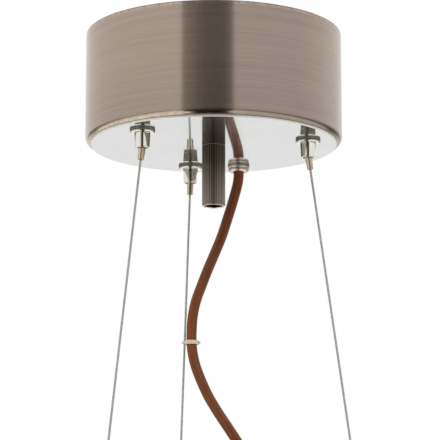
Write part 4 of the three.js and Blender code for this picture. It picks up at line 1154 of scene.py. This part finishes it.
# Supply cord: a round three-core lead with a smooth brown sheath. It leaves the gland, bows to
# the clip on the far wire and runs on down. The length that runs to the lamp body is coiled.
FREE_CORD = [
    (14.6, 53.2, 10.8), (13.2, 53.7, 16.4), (11.1, 54.4, 23.8), (8, 55.5, 33.6),
    (4.8, 56.8, 43.2), (0.8, 58.5, 52.8), (-3.4, 60.6, 62.4), (-7.2, 62.7, 71.9),
    (-10.7, 64.8, 81.3), (-12.7, 66.5, 90.8), (-13.3, 67.5, 99.7), (-13.3, 67.6, 106.4),
    (-12.7, 67.6, 112.6), (-11.1, 67.4, 119.9), (-7.5, 66.9, 129.6), (-3.1, 66.2, 139.2),
    (2.7, 65.7, 149), (9.1, 65.1, 158.7), (15.8, 64.8, 169.2), (22, 64.3, 180.8),
    (26.2, 64.1, 193.3),
]
CLIP_POINT = 11
CORD_START_GAP = 0.3 * MM
CORD_START_RUN = 2.4 * MM
COIL_APPROACH = [(-0.2 * MM, 0, 10 * MM), (0, 0, 3 * MM)]
COIL_CENTRE = Vector((-14, 64, -288)) * MM
COIL_INNER_RADIUS = 23 * MM
COIL_TURNS_PER_LAYER = 3
COIL_PITCH = 6.7 * MM
COIL_CLIMB = 0.5
COIL_STEPS_PER_TURN = 72
COIL_LEAD = 2 * CORD_RADIUS
CORD_STEP = 2 * MM
CORD_SIDES = 24


def make_sheath():
    """Brown plastic sheath with a satin skin, faint lines along it and a little chalking. The
    lines lie on its UV map, wrapped round so that they meet."""
    material, tree, shader = make_material("brown_sheath", tint(128, 70, 30), 0.4, 0)
    shader["Specular IOR Level"].default_value = 0.3
    place = place_along(tree, "UV")
    angle = calc(tree, "MULTIPLY", place["X"], 2 * math.pi)
    sources = {"X": calc(tree, "COSINE", angle), "Y": calc(tree, "SINE", angle), "Z": place["Y"]}
    wrapped = add_node(tree, "ShaderNodeCombineXYZ", sources)[0]
    lines = drawn_lines(tree, (1, 1, 9), 1.6, wrapped)
    clouds = mottle(tree, 110, 2)
    worn = mix(tree, clouds, tint(126, 70, 31), tint(142, 83, 39))
    color = mix(tree, spread(tree, lines, 0, 1, 0.42, 0.62), worn, tint(100, 48, 17))
    return dressed(material, color, spread(tree, clouds, 0.36, 0.5), lines, 0.05 * MM, 0.25)


def coil_path():
    """The coil's centre line: in through the first layer, up a layer and out again."""
    outer = COIL_INNER_RADIUS + COIL_TURNS_PER_LAYER * COIL_PITCH
    path = [COIL_CENTRE + Vector((outer, 0, COIL_LEAD * share)) for share in (1, 0.66, 0.33)]
    for i in range(2 * COIL_TURNS_PER_LAYER * COIL_STEPS_PER_TURN + 1):
        turn = i / COIL_STEPS_PER_TURN
        beyond = turn - COIL_TURNS_PER_LAYER
        radius = COIL_INNER_RADIUS + abs(beyond) * COIL_PITCH
        rise = min(1.0, max(0.0, beyond / COIL_CLIMB + 0.5))
        climb = rise * rise * (3 - 2 * rise)
        x, z, y = polar(radius, -2 * math.pi * turn, COIL_PITCH * climb)
        path.append(COIL_CENTRE + Vector((x, y, z)))
    path.extend(path[-1] - Vector((0, 0, COIL_LEAD * share)) for share in (0.33, 0.66, 1))
    return path


def tube_mesh(points, radius, sides):
    """A round tube along points."""
    form = bmesh.new()
    add_tube(form, points, radius, sides)
    return form_mesh(form)


SHEATH = make_sheath()
cord_exit = Vector((gland.x, gland.y, cap_low.z))
cord_start = cord_exit + Vector((0, 0, CORD_START_GAP))
coil_line = coil_path()
cord_line = smooth_path([
    cord_start,
    cord_exit - Vector((0, 0, CORD_START_RUN)),
    *[Vector((x * MM, y * MM, plate_low.z - fall * MM)) for x, y, fall in FREE_CORD],
    *[coil_line[0] + Vector(offset) for offset in COIL_APPROACH],
    coil_line[0],
], CORD_STEP) + coil_line[1:]
cord = tube_mesh(cord_line, CORD_RADIUS, CORD_SIDES)
cord = finish_piece("supply_cord", cord, SHEATH, None, "brown_sheath", "cord_free", "cord_coil")

# Cord clip: a moulded ring that snaps shut round the cord, with a thin eye on its side for the
# far wire. A bulb on each end of the ring is where it is pressed open.
CLIP_HOLE_RADIUS = 3.25 * MM
CLIP_RING_RADIUS = 4.35 * MM
CLIP_HEIGHT = 2.4 * MM
CLIP_EDGE = 0.22 * MM
CLIP_SLIT_ANGLE = 3
CLIP_RING_STEPS = 72
CLIP_EYE_RADIUS = 1.9 * MM
CLIP_EYE_HEIGHT = 1.5 * MM
CLIP_EYE_EDGE = 0.25 * MM
CLIP_WIRE_HOLE = 0.95 * MM
CLIP_NECK = {"x": (4.1, 4.9), "y": (0.16, 0.7), "height": 0.8 * MM, "edge": 0.08 * MM}
CLIP_BULB = {"x": (4.66, 5.28), "y": (0.13, 1.15), "height": 1.7 * MM, "edge": 0.24 * MM}


def make_plastic(name, first, second, roughness):
    """Moulded plastic with a soft bloom."""
    material, tree, _ = make_material(name, first, roughness, 0)
    clouds = mottle(tree, 200, 2)
    bloom = spread(tree, clouds, roughness - 0.06, roughness + 0.08)
    grain = noise(tree, here(tree), 4000, 2)
    return dressed(material, mix(tree, clouds, first, second), bloom, grain, 0.01 * MM, 0.3)


def merged(parts):
    """One mesh of several, given as (mesh, material) pairs."""
    form = bmesh.new()
    finishes = []
    for mesh, material in parts:
        if material not in finishes:
            finishes.append(material)
        first = len(form.faces)
        form.from_mesh(mesh)
        form.faces.ensure_lookup_table()
        for face in form.faces[first:]:
            face.material_index = finishes.index(material)
    whole = form_mesh(form)
    for material in finishes:
        whole.materials.append(material)
    return whole


def level_plate(outline, thickness, edge):
    """A plate with round edges, halfway above and below z = 0."""
    return placed(round_edged_plate([outline], thickness, edge), 0, 0, -thickness / 2)


def circle(radius, count, x=0.0, y=0.0):
    """Points on a whole circle."""
    return arc(radius, 0, 360 - 360 / count, x, y, count - 1)


def clip_mesh(wire):
    """The clip round the cord at the origin, with the wire at that place beside it."""
    ring = arc(CLIP_RING_RADIUS, CLIP_SLIT_ANGLE, 360 - CLIP_SLIT_ANGLE, steps=CLIP_RING_STEPS)
    ring += arc(CLIP_HOLE_RADIUS, 360 - CLIP_SLIT_ANGLE, CLIP_SLIT_ANGLE, steps=CLIP_RING_STEPS)
    eye = circle(CLIP_EYE_RADIUS, 60, wire.x, wire.y)
    bores = [(wire.x, wire.y, CLIP_WIRE_HOLE), (0, 0, CLIP_HOLE_RADIUS)]
    parts = [
        drilled(level_plate(ring, CLIP_HEIGHT, CLIP_EDGE), bores[:1], -CLIP_HEIGHT, CLIP_HEIGHT),
        drilled(level_plate(eye, CLIP_EYE_HEIGHT, CLIP_EYE_EDGE), bores, -CLIP_HEIGHT, CLIP_HEIGHT),
    ]
    for side in (-1, 1):
        for strip in (CLIP_NECK, CLIP_BULB):
            near, far = [x * MM for x in strip["x"]]
            inner, outer = [side * y * MM for y in strip["y"]]
            outline = [(near, inner), (far, inner), (far, outer), (near, outer)][::side]
            parts.append(level_plate(outline, strip["height"], strip["edge"]))
    return merged([(part, PALE_CLIP) for part in parts])


PALE_CLIP = make_plastic("pale_clip", tint(238, 224, 211), tint(226, 208, 194), 0.3)
clip_z = middle_of("cord_clip").z
clip_cord = Vector((*FREE_CORD[CLIP_POINT][:2], 0)) * MM
far_hang = wire_frame("far")[0]
wire_fall = (clip_z - far_hang.translation.z) / far_hang.col[2].z
clip = placed(clip_mesh(far_hang @ Vector((0, 0, wire_fall)) - clip_cord), clip_cord.x, clip_cord.y, clip_z)
clip = finish_piece("cord_clip_moulded", clip, PALE_CLIP, "wire_far", "pale_clip", "cord_clip")

# Coil tie: a band of black rubber that holds all the turns together, at the top of the coil.
# Its form is that of its CAD node, with the edges rounded.
TIE_EDGE = 0.2 * MM
tie = softened("cord_tie", TIE_EDGE)
tie = finish_piece("coil_tie", tie, BLACK_RUBBER, "wire_far", "black_rubber", "cord_tie")

# Stripped end: below the coil the three cores stand free of the sheath, each with a ferrule
# crimped on. The cores show brown, blue and yellow: the earth core's stripe covers it here,
# because the merged mesh reads the UV map of its turned bodies.
CORE_RADIUS = 1.05 * MM
CORE_SPREAD = 1.45 * MM
CORE_SIDES = 20
STRIPPED_LENGTH = 14 * MM
STRIPPED_ROOT = 1.2 * MM
STRIPPED_ROOT_RADIUS = CORD_RADIUS - 0.4 * MM
STRIPPED_LEAN = 0.012
FERRULE_COLLAR_RADIUS = 1.3 * MM
FERRULE_COLLAR_LENGTH = 3 * MM
FERRULE_PIN_RADIUS = 0.7 * MM
FERRULE_LENGTH = 10 * MM
FERRULE_SIDES = 24


def make_striped_core():
    """Green insulation with one yellow stripe along it, placed by the tube's UV map."""
    material, tree, _ = make_material("earth_core", tint(64, 140, 66), 0.4, 0)
    striped = calc(tree, "LESS_THAN", place_along(tree, "UV")["X"], 0.45)
    clouds = mottle(tree, 200, 2)
    green = mix(tree, clouds, tint(58, 132, 60), tint(76, 150, 74))
    color = mix(tree, striped, green, tint(214, 200, 52))
    return dressed(material, color, spread(tree, clouds, 0.34, 0.48))


def core_offset(i, reach):
    """How far a core of the lead, counted from the earth, lies from the lead's middle."""
    return polar(reach, math.radians(90 + 120 * i), 0)


BROWN_CORE = make_plastic("brown_core", tint(96, 62, 38), tint(88, 55, 33), 0.4)
BLUE_CORE = make_plastic("blue_core", tint(52, 98, 168), tint(44, 88, 156), 0.4)
EARTH_CORE = make_striped_core()
WHITE_NYLON = make_plastic("white_nylon", tint(233, 230, 223), tint(224, 221, 212), 0.45)
sheath_end = coil_line[-1] - Vector((0, 0, CORD_START_GAP))
root = disc(STRIPPED_ROOT_RADIUS, -STRIPPED_ROOT, 0, PLAIN_EDGE, 0)
end_parts = [(placed(root, *sheath_end), SHEATH)]
for i, material in enumerate((EARTH_CORE, BLUE_CORE, BROWN_CORE)):
    leaned = CORE_SPREAD + STRIPPED_LEAN * STRIPPED_LENGTH
    start = sheath_end + core_offset(i, CORE_SPREAD) - Vector((0, 0, STRIPPED_ROOT / 2))
    end = sheath_end + core_offset(i, leaned) - Vector((0, 0, STRIPPED_LENGTH))
    core = tube_mesh(straight_path(start, end, CORD_STEP), CORE_RADIUS, CORE_SIDES)
    collar = disc(FERRULE_COLLAR_RADIUS, -FERRULE_COLLAR_LENGTH, 0, BROAD_EDGE, CRISP_EDGE, FERRULE_SIDES)
    pin = disc(FERRULE_PIN_RADIUS, -FERRULE_LENGTH, -FERRULE_COLLAR_LENGTH, CRISP_EDGE, 0, FERRULE_SIDES)
    end_parts += [(core, material), (placed(collar, *end), WHITE_NYLON), (placed(pin, *end), ZINC)]
ends = finish_piece("stripped_cores", merged(end_parts), None, "wire_far", "brown_core", "cord_end_cores")
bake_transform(cord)

# The cord inside the canopy: its sheath goes up through the gland and ends above it, and its
# three cores run on to the terminal block and the earth lug.
CORE_RISE = 3.5 * MM
CORE_APPROACH = 6 * MM
CORE_STEP = 0.8 * MM
LIVE_ARCH = -41 * MM
NEUTRAL_ARCH = -45 * MM
POLE_XS = (22 * MM, 30 * MM, 38 * MM)
POLE_Z = -58.5 * MM
EARTH_RISE = Vector((-0.6, 0.3, 5)) * MM
EARTH_ARCH = Vector((-6, -1, -37)) * MM
LUG_CORE_Z = -61.45 * MM
LUG_ANGLE = 28
ALONG_LUG = [(28.2, 13.45), (19.2, 3), (13.2, 0), (7.2, 0)]
sheath_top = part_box("cord_inner")[1].z
gland_axis = Vector((gland.x, gland.y, 0))
inner_line = straight_path(cord_start, gland_axis + Vector((0, 0, sheath_top)), CORD_STEP)
inner = tube_mesh(inner_line, CORD_RADIUS, CORD_SIDES)
finish_piece("cord_in_canopy", inner, SHEATH, "canopy", "brown_sheath", "cord_inner")
block_low, block_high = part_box("terminal_block")
block_middle = middle_of("terminal_block")
stud = middle_of("earth_stud")


def core_start(i):
    """Where a core leaves the sheath."""
    return gland_axis + core_offset(i, CORE_SPREAD) + Vector((0, 0, sheath_top + CORD_START_GAP))


def core_to_pole(i, pole_x, arch_z):
    """A core's way over an arch and into its pole of the terminal block."""
    start = core_start(i)
    entry = block_high.y
    return smooth_path([
        start,
        start + Vector((0, 0, CORE_RISE)),
        Vector(((start.x + pole_x) / 2, (start.y + entry) / 2 + CORE_APPROACH, arch_z)),
        Vector((pole_x, entry + CORE_APPROACH, POLE_Z + CORE_SPREAD)),
        Vector((pole_x, entry, POLE_Z)),
        Vector((pole_x, block_middle.y + MM, POLE_Z)),
    ], CORE_STEP)


def core_to_lug():
    """The earth core's way over to the lug and down into its barrel."""
    start = core_start(0)
    stud_axis = Vector((stud.x, stud.y, LUG_CORE_Z))
    return smooth_path([
        start,
        start + EARTH_RISE,
        gland_axis + EARTH_ARCH,
        *[stud_axis + polar(out * MM, math.radians(LUG_ANGLE), up * MM) for out, up in ALONG_LUG],
    ], CORE_STEP)


for name, line, material, slot in (
    ("live", core_to_pole(2, POLE_XS[2], LIVE_ARCH), BROWN_CORE, "brown_core"),
    ("neutral", core_to_pole(1, POLE_XS[0], NEUTRAL_ARCH), BLUE_CORE, "blue_core"),
    ("earth", core_to_lug(), EARTH_CORE, "green_yellow_core"),
):
    core = tube_mesh(line, CORE_RADIUS, CORE_SIDES)
    finish_piece("insulated_core_" + name, core, material, "canopy", slot, "core_" + name)

# Terminal block: a moulded strip of white nylon with a wire tunnel and a screw for each of its
# three poles, held to the canopy's floor by two small screws.
BLOCK_STEP = 2.5 * MM
BLOCK_EDGE = 0.4 * MM
POLE_BORE_RADIUS = 1.7 * MM
WELL_RADIUS = 1.8 * MM
BLOCK_SCREW_HOLE = 1.12 * MM
BLOCK_BORE_SIDES = 32
SLOT_WIDTH = 0.5 * MM
SLOT_DEPTH = 0.7 * MM


def block_mesh():
    """The stepped strip, drilled along Y for the cores and from above for the screws."""
    depth, height = (block_high.y - block_low.y) / 2, block_high.z - block_low.z
    shoulder = height - BLOCK_STEP
    half = [(depth, 0), (depth, shoulder), (depth / 2, shoulder), (depth / 2, height)]
    profile = half + [(-y, z) for y, z in reversed(half)]
    block = round_edged_plate([profile], block_high.x - block_low.x, BLOCK_EDGE)
    block.transform(Matrix((
        (0, 0, 1, block_low.x),
        (1, 0, 0, block_middle.y),
        (0, 1, 0, block_low.z),
        (0, 0, 0, 1),
    )))
    along_y = Matrix.Rotation(math.pi / 2, 4, "X")
    tunnels = [(x, POLE_Z, POLE_BORE_RADIUS) for x in POLE_XS]
    wells = [(x, block_middle.y, WELL_RADIUS) for x in POLE_XS]
    screws = [middle_of(f"block_screw_{i}") for i in (1, 2)]
    screw_holes = [(screw.x, screw.y, BLOCK_SCREW_HOLE) for screw in screws]
    above = block_high.z + MM
    block = drilled(block, tunnels, -block_high.y - MM, -block_low.y + MM, BLOCK_BORE_SIDES, along_y)
    block = drilled(block, wells, POLE_Z, above, BLOCK_BORE_SIDES)
    return drilled(block, screw_holes, block_low.z - MM, above, BLOCK_BORE_SIDES)


def slotted_screw(name, node, screw, material, slot):
    """A turned screw with a screwdriver slot across its head, in the place of its CAD node."""
    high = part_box(node)[1]
    cutter = bmesh.new()
    size = Matrix.Diagonal((4 * high.x, SLOT_WIDTH, 2 * SLOT_DEPTH, 1))
    bmesh.ops.create_cube(cutter, size=1, matrix=Matrix.Translation((0, 0, high.z)) @ size)
    centre = middle_of(node)
    finish_piece(name, placed(cut_away(screw, cutter), centre.x, centre.y, 0), material, "canopy", slot, node)


finish_piece("nylon_block", block_mesh(), WHITE_NYLON, "canopy", "white_nylon", "terminal_block")
for i in (1, 2, 3):
    node = f"terminal_screw_{i}"
    low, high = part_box(node)
    screw = disc((high.x - low.x) / 2, low.z, high.z, PLAIN_EDGE, SOFT_EDGE)
    slotted_screw(f"pole_screw_{i}", node, screw, BRASS, "brass")
for i in (1, 2):
    node = f"block_screw_{i}"
    low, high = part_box(node)
    head = (high.x - low.x) / 2
    head_z = block_high.z + SEAT_GAP
    screw = turned([
        (0, low.z, 0), (head / 2, low.z, SOFT_EDGE), (head / 2, head_z, 0), (head, head_z, CRISP_EDGE),
        (head, (head_z + high.z) / 2, PLAIN_EDGE), (head / 2, high.z, BROAD_EDGE), (0, high.z, 0),
    ], 40)
    slotted_screw(f"fixing_screw_{i}", node, screw, ZINC, "zinc_steel")

# Earth point: a brass stud on the canopy's floor. Its collar and a nut hold the eye of a lug
# that is crimped on the earth core.
STUD_PITCH = 0.7 * MM
STUD_THREAD_DEPTH = 0.38 * MM
STUD_RADIUS = 2 * MM
STUD_NUT_FLATS = 7 * MM
LUG_EYE_RADIUS = 4.2 * MM
LUG_HOLE_RADIUS = STUD_RADIUS + 0.12 * MM
LUG_THICKNESS = 0.8 * MM
LUG_NECK_END = 6.7 * MM
LUG_BARREL_START = 6.2 * MM
LUG_BARREL_LENGTH = 7 * MM
LUG_BARREL_RADIUS = 2 * MM
LUG_CRIMP_RADIUS = 1.75 * MM
LUG_BORE_RADIUS = 1.2 * MM
stud_low, stud_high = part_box("earth_stud")
collar_radius = (stud_high.x - stud_low.x) / 2
lug_z = LUG_CORE_Z - LUG_THICKNESS / 2
thread_root = STUD_RADIUS - STUD_THREAD_DEPTH
pin = turned([
    (0, stud_low.z, 0),
    (collar_radius, stud_low.z, CRISP_EDGE),
    (collar_radius, lug_z - SEAT_GAP, CRISP_EDGE),
    (thread_root, lug_z - SEAT_GAP, 0),
    (thread_root, stud_high.z, PLAIN_EDGE),
    (0, stud_high.z, 0),
], 40)
pin_thread = (STUD_RADIUS, lug_z + STUD_PITCH, stud_high.z - STUD_PITCH, STUD_PITCH, STUD_THREAD_DEPTH)
pin = placed(threaded(pin, *pin_thread, BRASS), stud.x, stud.y, 0)
finish_piece("earth_pin", pin, BRASS, "canopy", "brass", "earth_stud")
fit_nut("earth_hex_nut", "earth_nut", STUD_NUT_FLATS, STUD_RADIUS, "canopy", BRASS, "brass")
neck = math.degrees(math.acos(LUG_BARREL_RADIUS / LUG_EYE_RADIUS))
eye = arc(LUG_EYE_RADIUS, 180 - neck, 360 + neck)
eye += [(LUG_BARREL_RADIUS, LUG_NECK_END), (-LUG_BARREL_RADIUS, LUG_NECK_END)]
eye_plate = round_edged_plate([eye, circle(LUG_HOLE_RADIUS, 36)], LUG_THICKNESS, CRISP_EDGE)
barrel = turned([
    (LUG_BORE_RADIUS, 0, FINE_EDGE),
    (LUG_BARREL_RADIUS, 0, SOFT_EDGE),
    (LUG_BARREL_RADIUS, LUG_BARREL_LENGTH * 0.3, 0),
    (LUG_CRIMP_RADIUS, LUG_BARREL_LENGTH * 0.4, 0),
    (LUG_CRIMP_RADIUS, LUG_BARREL_LENGTH * 0.6, 0),
    (LUG_BARREL_RADIUS, LUG_BARREL_LENGTH * 0.7, 0),
    (LUG_BARREL_RADIUS, LUG_BARREL_LENGTH, SOFT_EDGE),
    (LUG_BORE_RADIUS, LUG_BARREL_LENGTH, FINE_EDGE),
], 40)
along_y = Matrix.Rotation(-math.pi / 2, 4, "X")
barrel.transform(Matrix.Translation((0, LUG_BARREL_START, LUG_CORE_Z)) @ along_y)
lug = merged([(placed(eye_plate, 0, 0, lug_z), BRASS), (barrel, BRASS)])
lug_turn = Matrix.Rotation(math.radians(LUG_ANGLE - 90), 4, "Z")
lug.transform(Matrix.Translation((stud.x, stud.y, 0)) @ lug_turn)
finish_piece("earth_crimp_lug", lug, BRASS, "canopy", "brass", "earth_lug")

# Camera: in front of the lamp, well below the canopy and tilted up at it, as in the photograph.
# Its long lens keeps the canopy's sides nearly upright.
CAMERA_DISTANCE = 1.2123
CAMERA_FALL = 0.2843
CAMERA_SIDE = 0.0004
CAMERA_PITCH = math.radians(11.21)
CAMERA_YAW = math.radians(-0.156)
CAMERA_LENS = 174.2
CAMERA_SENSOR = 36
camera_data = bpy.data.cameras.new("camera")
camera_data.lens = CAMERA_LENS
camera_data.sensor_width = CAMERA_SENSOR
camera = bpy.data.objects.new("camera", camera_data)
bpy.context.scene.collection.objects.link(camera)
camera.location = (CAMERA_SIDE, -CAMERA_DISTANCE, plate_low.z - CAMERA_FALL)
camera.rotation_euler = (math.pi / 2 + CAMERA_PITCH, 0, CAMERA_YAW)
bpy.context.scene.camera = camera

# Stage: a pale floor, soft studio lamps and a white surround. The photographed studio was dark on
# the camera's side and dim further round, so sheets that only show in reflections stand for it.
# Angles along them are in degrees from the camera's side, and others from the canopy's face.
FLOOR_Z = -0.40
FLOOR_SIZE = 30
FLOOR_GLOW = 0.56
STUDIO_RADIUS = 4.0
STUDIO_STEP = 5
GROUND_LIFT = 1 * MM
BAND_FROM, BAND_TO = -28, 17.4
STAND_FROM, STAND_TO = -9, 9
BACK_FADE_FROM, BACK_FADE_TO = 146, 168
SIDE_FADE_FROM, SIDE_FADE_TO = 82, 126
UNDERFOOT = 80
NEAR_LEFT, NEAR_RIGHT = 25, 28
DIM_FROM = 20
LIGHT_FROM = 9
SHEET_MEETS_FLOOR = 4.8
HIGH_FROM, HIGH_TO = 9, 50
PAD_LEFT, PAD_RIGHT, PAD_FRONT, PAD_BACK = -0.07, 0.05, -0.16, 0.14
SURROUND_LIGHT = 0.55
LAMPS = {"key_lamp": ((-1.6, -1.4, 1.2), 16), "fill_lamp": ((1.8, -1.0, 0.6), 8)}
LAMP_SIZE = 1.2
LAMP_TARGET = Vector((0, 0, -0.1))
WHITE = (1, 1, 1)
DARK = (0.02, 0.018, 0.016)
DIM = (0.16, 0.155, 0.125)
LIGHT_LEFT = (0.5, 0.48, 0.4)
LIGHT_RIGHT = (0.27, 0.26, 0.2)
SHADED = (0.8, 0.8, 0.84)


def stage_sheet(name, corners, faces, material):
    """A sheet that belongs to the stage, not to the lamp."""
    mesh = bpy.data.meshes.new(name)
    mesh.from_pydata(corners, [], faces)
    mesh.materials.append(material)
    sheet = bpy.data.objects.new(name, mesh)
    bpy.context.scene.collection.objects.link(sheet)
    return sheet


def level_sheet(name, left, right, front, back, z, material):
    """A level rectangle of the stage."""
    corners = [(left, front, z), (right, front, z), (right, back, z), (left, back, z)]
    return stage_sheet(name, corners, [(0, 1, 2, 3)], material)


def reflection_only(sheet):
    """Hides a sheet from everything but glossy rays."""
    sheet.visible_camera = False
    sheet.visible_diffuse = False
    sheet.visible_shadow = False
    sheet.visible_transmission = False


def background_rays(tree):
    """1 for camera, glossy and transmission rays, which see the backdrop, and 0 for others."""
    ray = add_node(tree, "ShaderNodeLightPath", {})
    seen = calc(tree, "ADD", ray["Is Camera Ray"], ray["Is Glossy Ray"])
    return calc(tree, "ADD", seen, ray["Is Transmission Ray"], clamp=True)


def make_floor_paint():
    """Pale matt paint that also glows a little where it is seen as the backdrop."""
    material, tree, shader = make_material("floor_paint", tint(232, 231, 229), 0.6, 0)
    color = mix(tree, mottle(tree, 2, 0.6), tint(233, 232, 230), tint(229, 228, 226))
    tree.links.new(color, shader["Base Color"])
    shader["Specular IOR Level"].default_value = 0
    shader["Emission Color"].default_value = (1, 1, 1, 1)
    tree.links.new(spread(tree, background_rays(tree), 0, FLOOR_GLOW), shader["Emission Strength"])
    return material


def make_glow(name, *stops):
    """A black sheet that glows. One stop is its colour all over, and more stops are angles and
    colours along a studio sheet."""
    material, tree, shader = make_material(name, (0, 0, 0, 1), 1, 0)
    shader["Specular IOR Level"].default_value = 0
    shader["Emission Strength"].default_value = 1
    if len(stops) == 1:
        shader["Emission Color"].default_value = (*stops[0][1], 1)
        return material
    start, end = stops[0][0], stops[-1][0]
    ramp = tree.nodes.new("ShaderNodeValToRGB")
    tree.links.new(place_along(tree, "UV")["X"], ramp.inputs["Fac"])
    tree.links.new(ramp.outputs["Color"], shader["Emission Color"])
    points = ramp.color_ramp.elements
    for angle, _ in stops[1:-1]:
        points.new((angle - start) / (end - start))
    for point, (_, color) in zip(points, stops):
        point.color = (*color, 1)
    return material


def left_stops(color):
    """The stops of a glow from the back round the left to the dark band."""
    return (-180, WHITE), (-BACK_FADE_TO, WHITE), (-BACK_FADE_FROM, color), (BAND_FROM, color)


def right_stops(color):
    """The stops of a glow from the dark band round the right to the back."""
    return (BAND_TO, color), (BACK_FADE_FROM, color), (BACK_FADE_TO, WHITE), (180, WHITE)


def warm_stops(*stops):
    """Stops of a slightly warm grey, given as angles and strengths."""
    return [(angle, (light, light * 0.96, light * 0.93)) for angle, light in stops]


def studio_arc(start, end, radius, z):
    """Points round the object, at angles in degrees from the camera's side."""
    steps = math.ceil((end - start) / STUDIO_STEP)
    angles = [math.radians(start + (end - start) * i / steps) for i in range(steps + 1)]
    return [(radius * math.sin(a), -radius * math.cos(a), z) for a in angles]


def studio_sheet(name, lower, upper, material):
    """A sheet between two arcs that only shows in reflections. U of its UV map runs along them."""
    count = len(lower)
    faces = [(i, i + 1, count + i + 1, count + i) for i in range(count - 1)]
    sheet = stage_sheet(name, lower + upper, faces, material)
    layer = sheet.data.uv_layers.new(name="UVMap")
    for corner in sheet.data.loops:
        row, place = divmod(corner.vertex_index, count)
        layer.data[corner.index].uv = (place / (count - 1), row)
    reflection_only(sheet)


def ground_sheet(name, start, end, steep, shallow, material):
    """A sheet just above the floor, between two angles below the level of the canopy's face."""
    z = FLOOR_Z + GROUND_LIFT
    near, far = [(plate_low.z - z) / math.tan(math.radians(angle)) for angle in (steep, shallow)]
    studio_sheet(name, studio_arc(start, end, near, z), studio_arc(start, end, far, z), material)


def upright_sheet(name, start, end, low, high, material):
    """An upright sheet between two angles above the level of the canopy's face."""
    bottom, top = [plate_low.z + STUDIO_RADIUS * math.tan(math.radians(angle)) for angle in (low, high)]
    lower = studio_arc(start, end, STUDIO_RADIUS, bottom)
    studio_sheet(name, lower, studio_arc(start, end, STUDIO_RADIUS, top), material)


def add_lamp(name, place, power):
    """A round studio lamp that points at the object and doesn't show in reflections."""
    lamp_data = bpy.data.lights.new(name, "AREA")
    lamp_data.shape = "DISK"
    lamp_data.size = LAMP_SIZE
    lamp_data.energy = power
    lamp = bpy.data.objects.new(name, lamp_data)
    bpy.context.scene.collection.objects.link(lamp)
    lamp.location = place
    lamp.rotation_euler = (LAMP_TARGET - Vector(place)).to_track_quat("-Z", "Y").to_euler()
    lamp.visible_glossy = False


half = FLOOR_SIZE / 2
level_sheet("floor", -half, half, -half, half, FLOOR_Z, make_floor_paint())
dark_glow = make_glow("dark_studio", (0, DARK))
dim_glow = make_glow("dim_studio", *left_stops(DIM)[:3], *right_stops(DIM)[1:])
dim_left_glow = make_glow("dim_studio_left", *left_stops(DIM))
dim_right_glow = make_glow("dim_studio_right", *right_stops(DIM))
left_glow = make_glow("light_studio_left", *left_stops(LIGHT_LEFT))
right_glow = make_glow("light_studio_right", *right_stops(LIGHT_RIGHT))
shaded_glow = make_glow("shaded_studio", (BAND_TO, SHADED), (SIDE_FADE_FROM, SHADED), (SIDE_FADE_TO, WHITE))
high_glow = make_glow("high_studio", *warm_stops(
    (BAND_FROM, 0.48), (-22, 0.38), (-15, 0.31), (-7, 0.27),
    (1, 0.25), (9, 0.25), (13.5, 0.3), (BAND_TO, 0.4),
))
low_glow = make_glow("low_studio", *warm_stops(
    (BAND_FROM, 0.5), (-17, 0.36), (STAND_FROM, 0.04), (STAND_TO, 0.04), (14, 0.3), (BAND_TO, 0.4),
))
ground_sheet("dark_ground", BAND_FROM, BAND_TO, UNDERFOOT, DIM_FROM, dark_glow)
ground_sheet("dim_ground", -180, 180, DIM_FROM, LIGHT_FROM, dim_glow)
ground_sheet("near_ground_left", -180, BAND_FROM, NEAR_LEFT, DIM_FROM, dim_left_glow)
ground_sheet("near_ground_right", BAND_TO, 180, NEAR_RIGHT, DIM_FROM, dim_right_glow)
ground_sheet("light_ground_left", -180, BAND_FROM, LIGHT_FROM, SHEET_MEETS_FLOOR, left_glow)
ground_sheet("light_ground_right", BAND_TO, 180, LIGHT_FROM, SHEET_MEETS_FLOOR, right_glow)
ground_sheet("band_foot", BAND_FROM, BAND_TO, LIGHT_FROM, SHEET_MEETS_FLOOR, dark_glow)
upright_sheet("band_low", BAND_FROM, BAND_TO, -SHEET_MEETS_FLOOR, HIGH_FROM, low_glow)
upright_sheet("band_high", BAND_FROM, BAND_TO, HIGH_FROM, HIGH_TO, high_glow)
upright_sheet("shaded_panel", BAND_TO, SIDE_FADE_TO, HIGH_FROM, HIGH_TO, shaded_glow)
pad_z = FLOOR_Z + 2 * GROUND_LIFT
reflection_only(level_sheet("dark_pad", PAD_LEFT, PAD_RIGHT, PAD_FRONT, PAD_BACK, pad_z, dark_glow))
for name, (place, power) in LAMPS.items():
    add_lamp(name, place, power)

surround = bpy.data.worlds.new("surround")
bpy.context.scene.world = surround
surround.use_nodes = True
world_tree = surround.node_tree
background = world_tree.nodes["Background"].inputs
background["Color"].default_value = (1, 1, 1, 1)
strength = spread(world_tree, background_rays(world_tree), SURROUND_LIGHT, 1)
world_tree.links.new(strength, background["Strength"])
bpy.context.scene.view_settings.view_transform = "Standard"
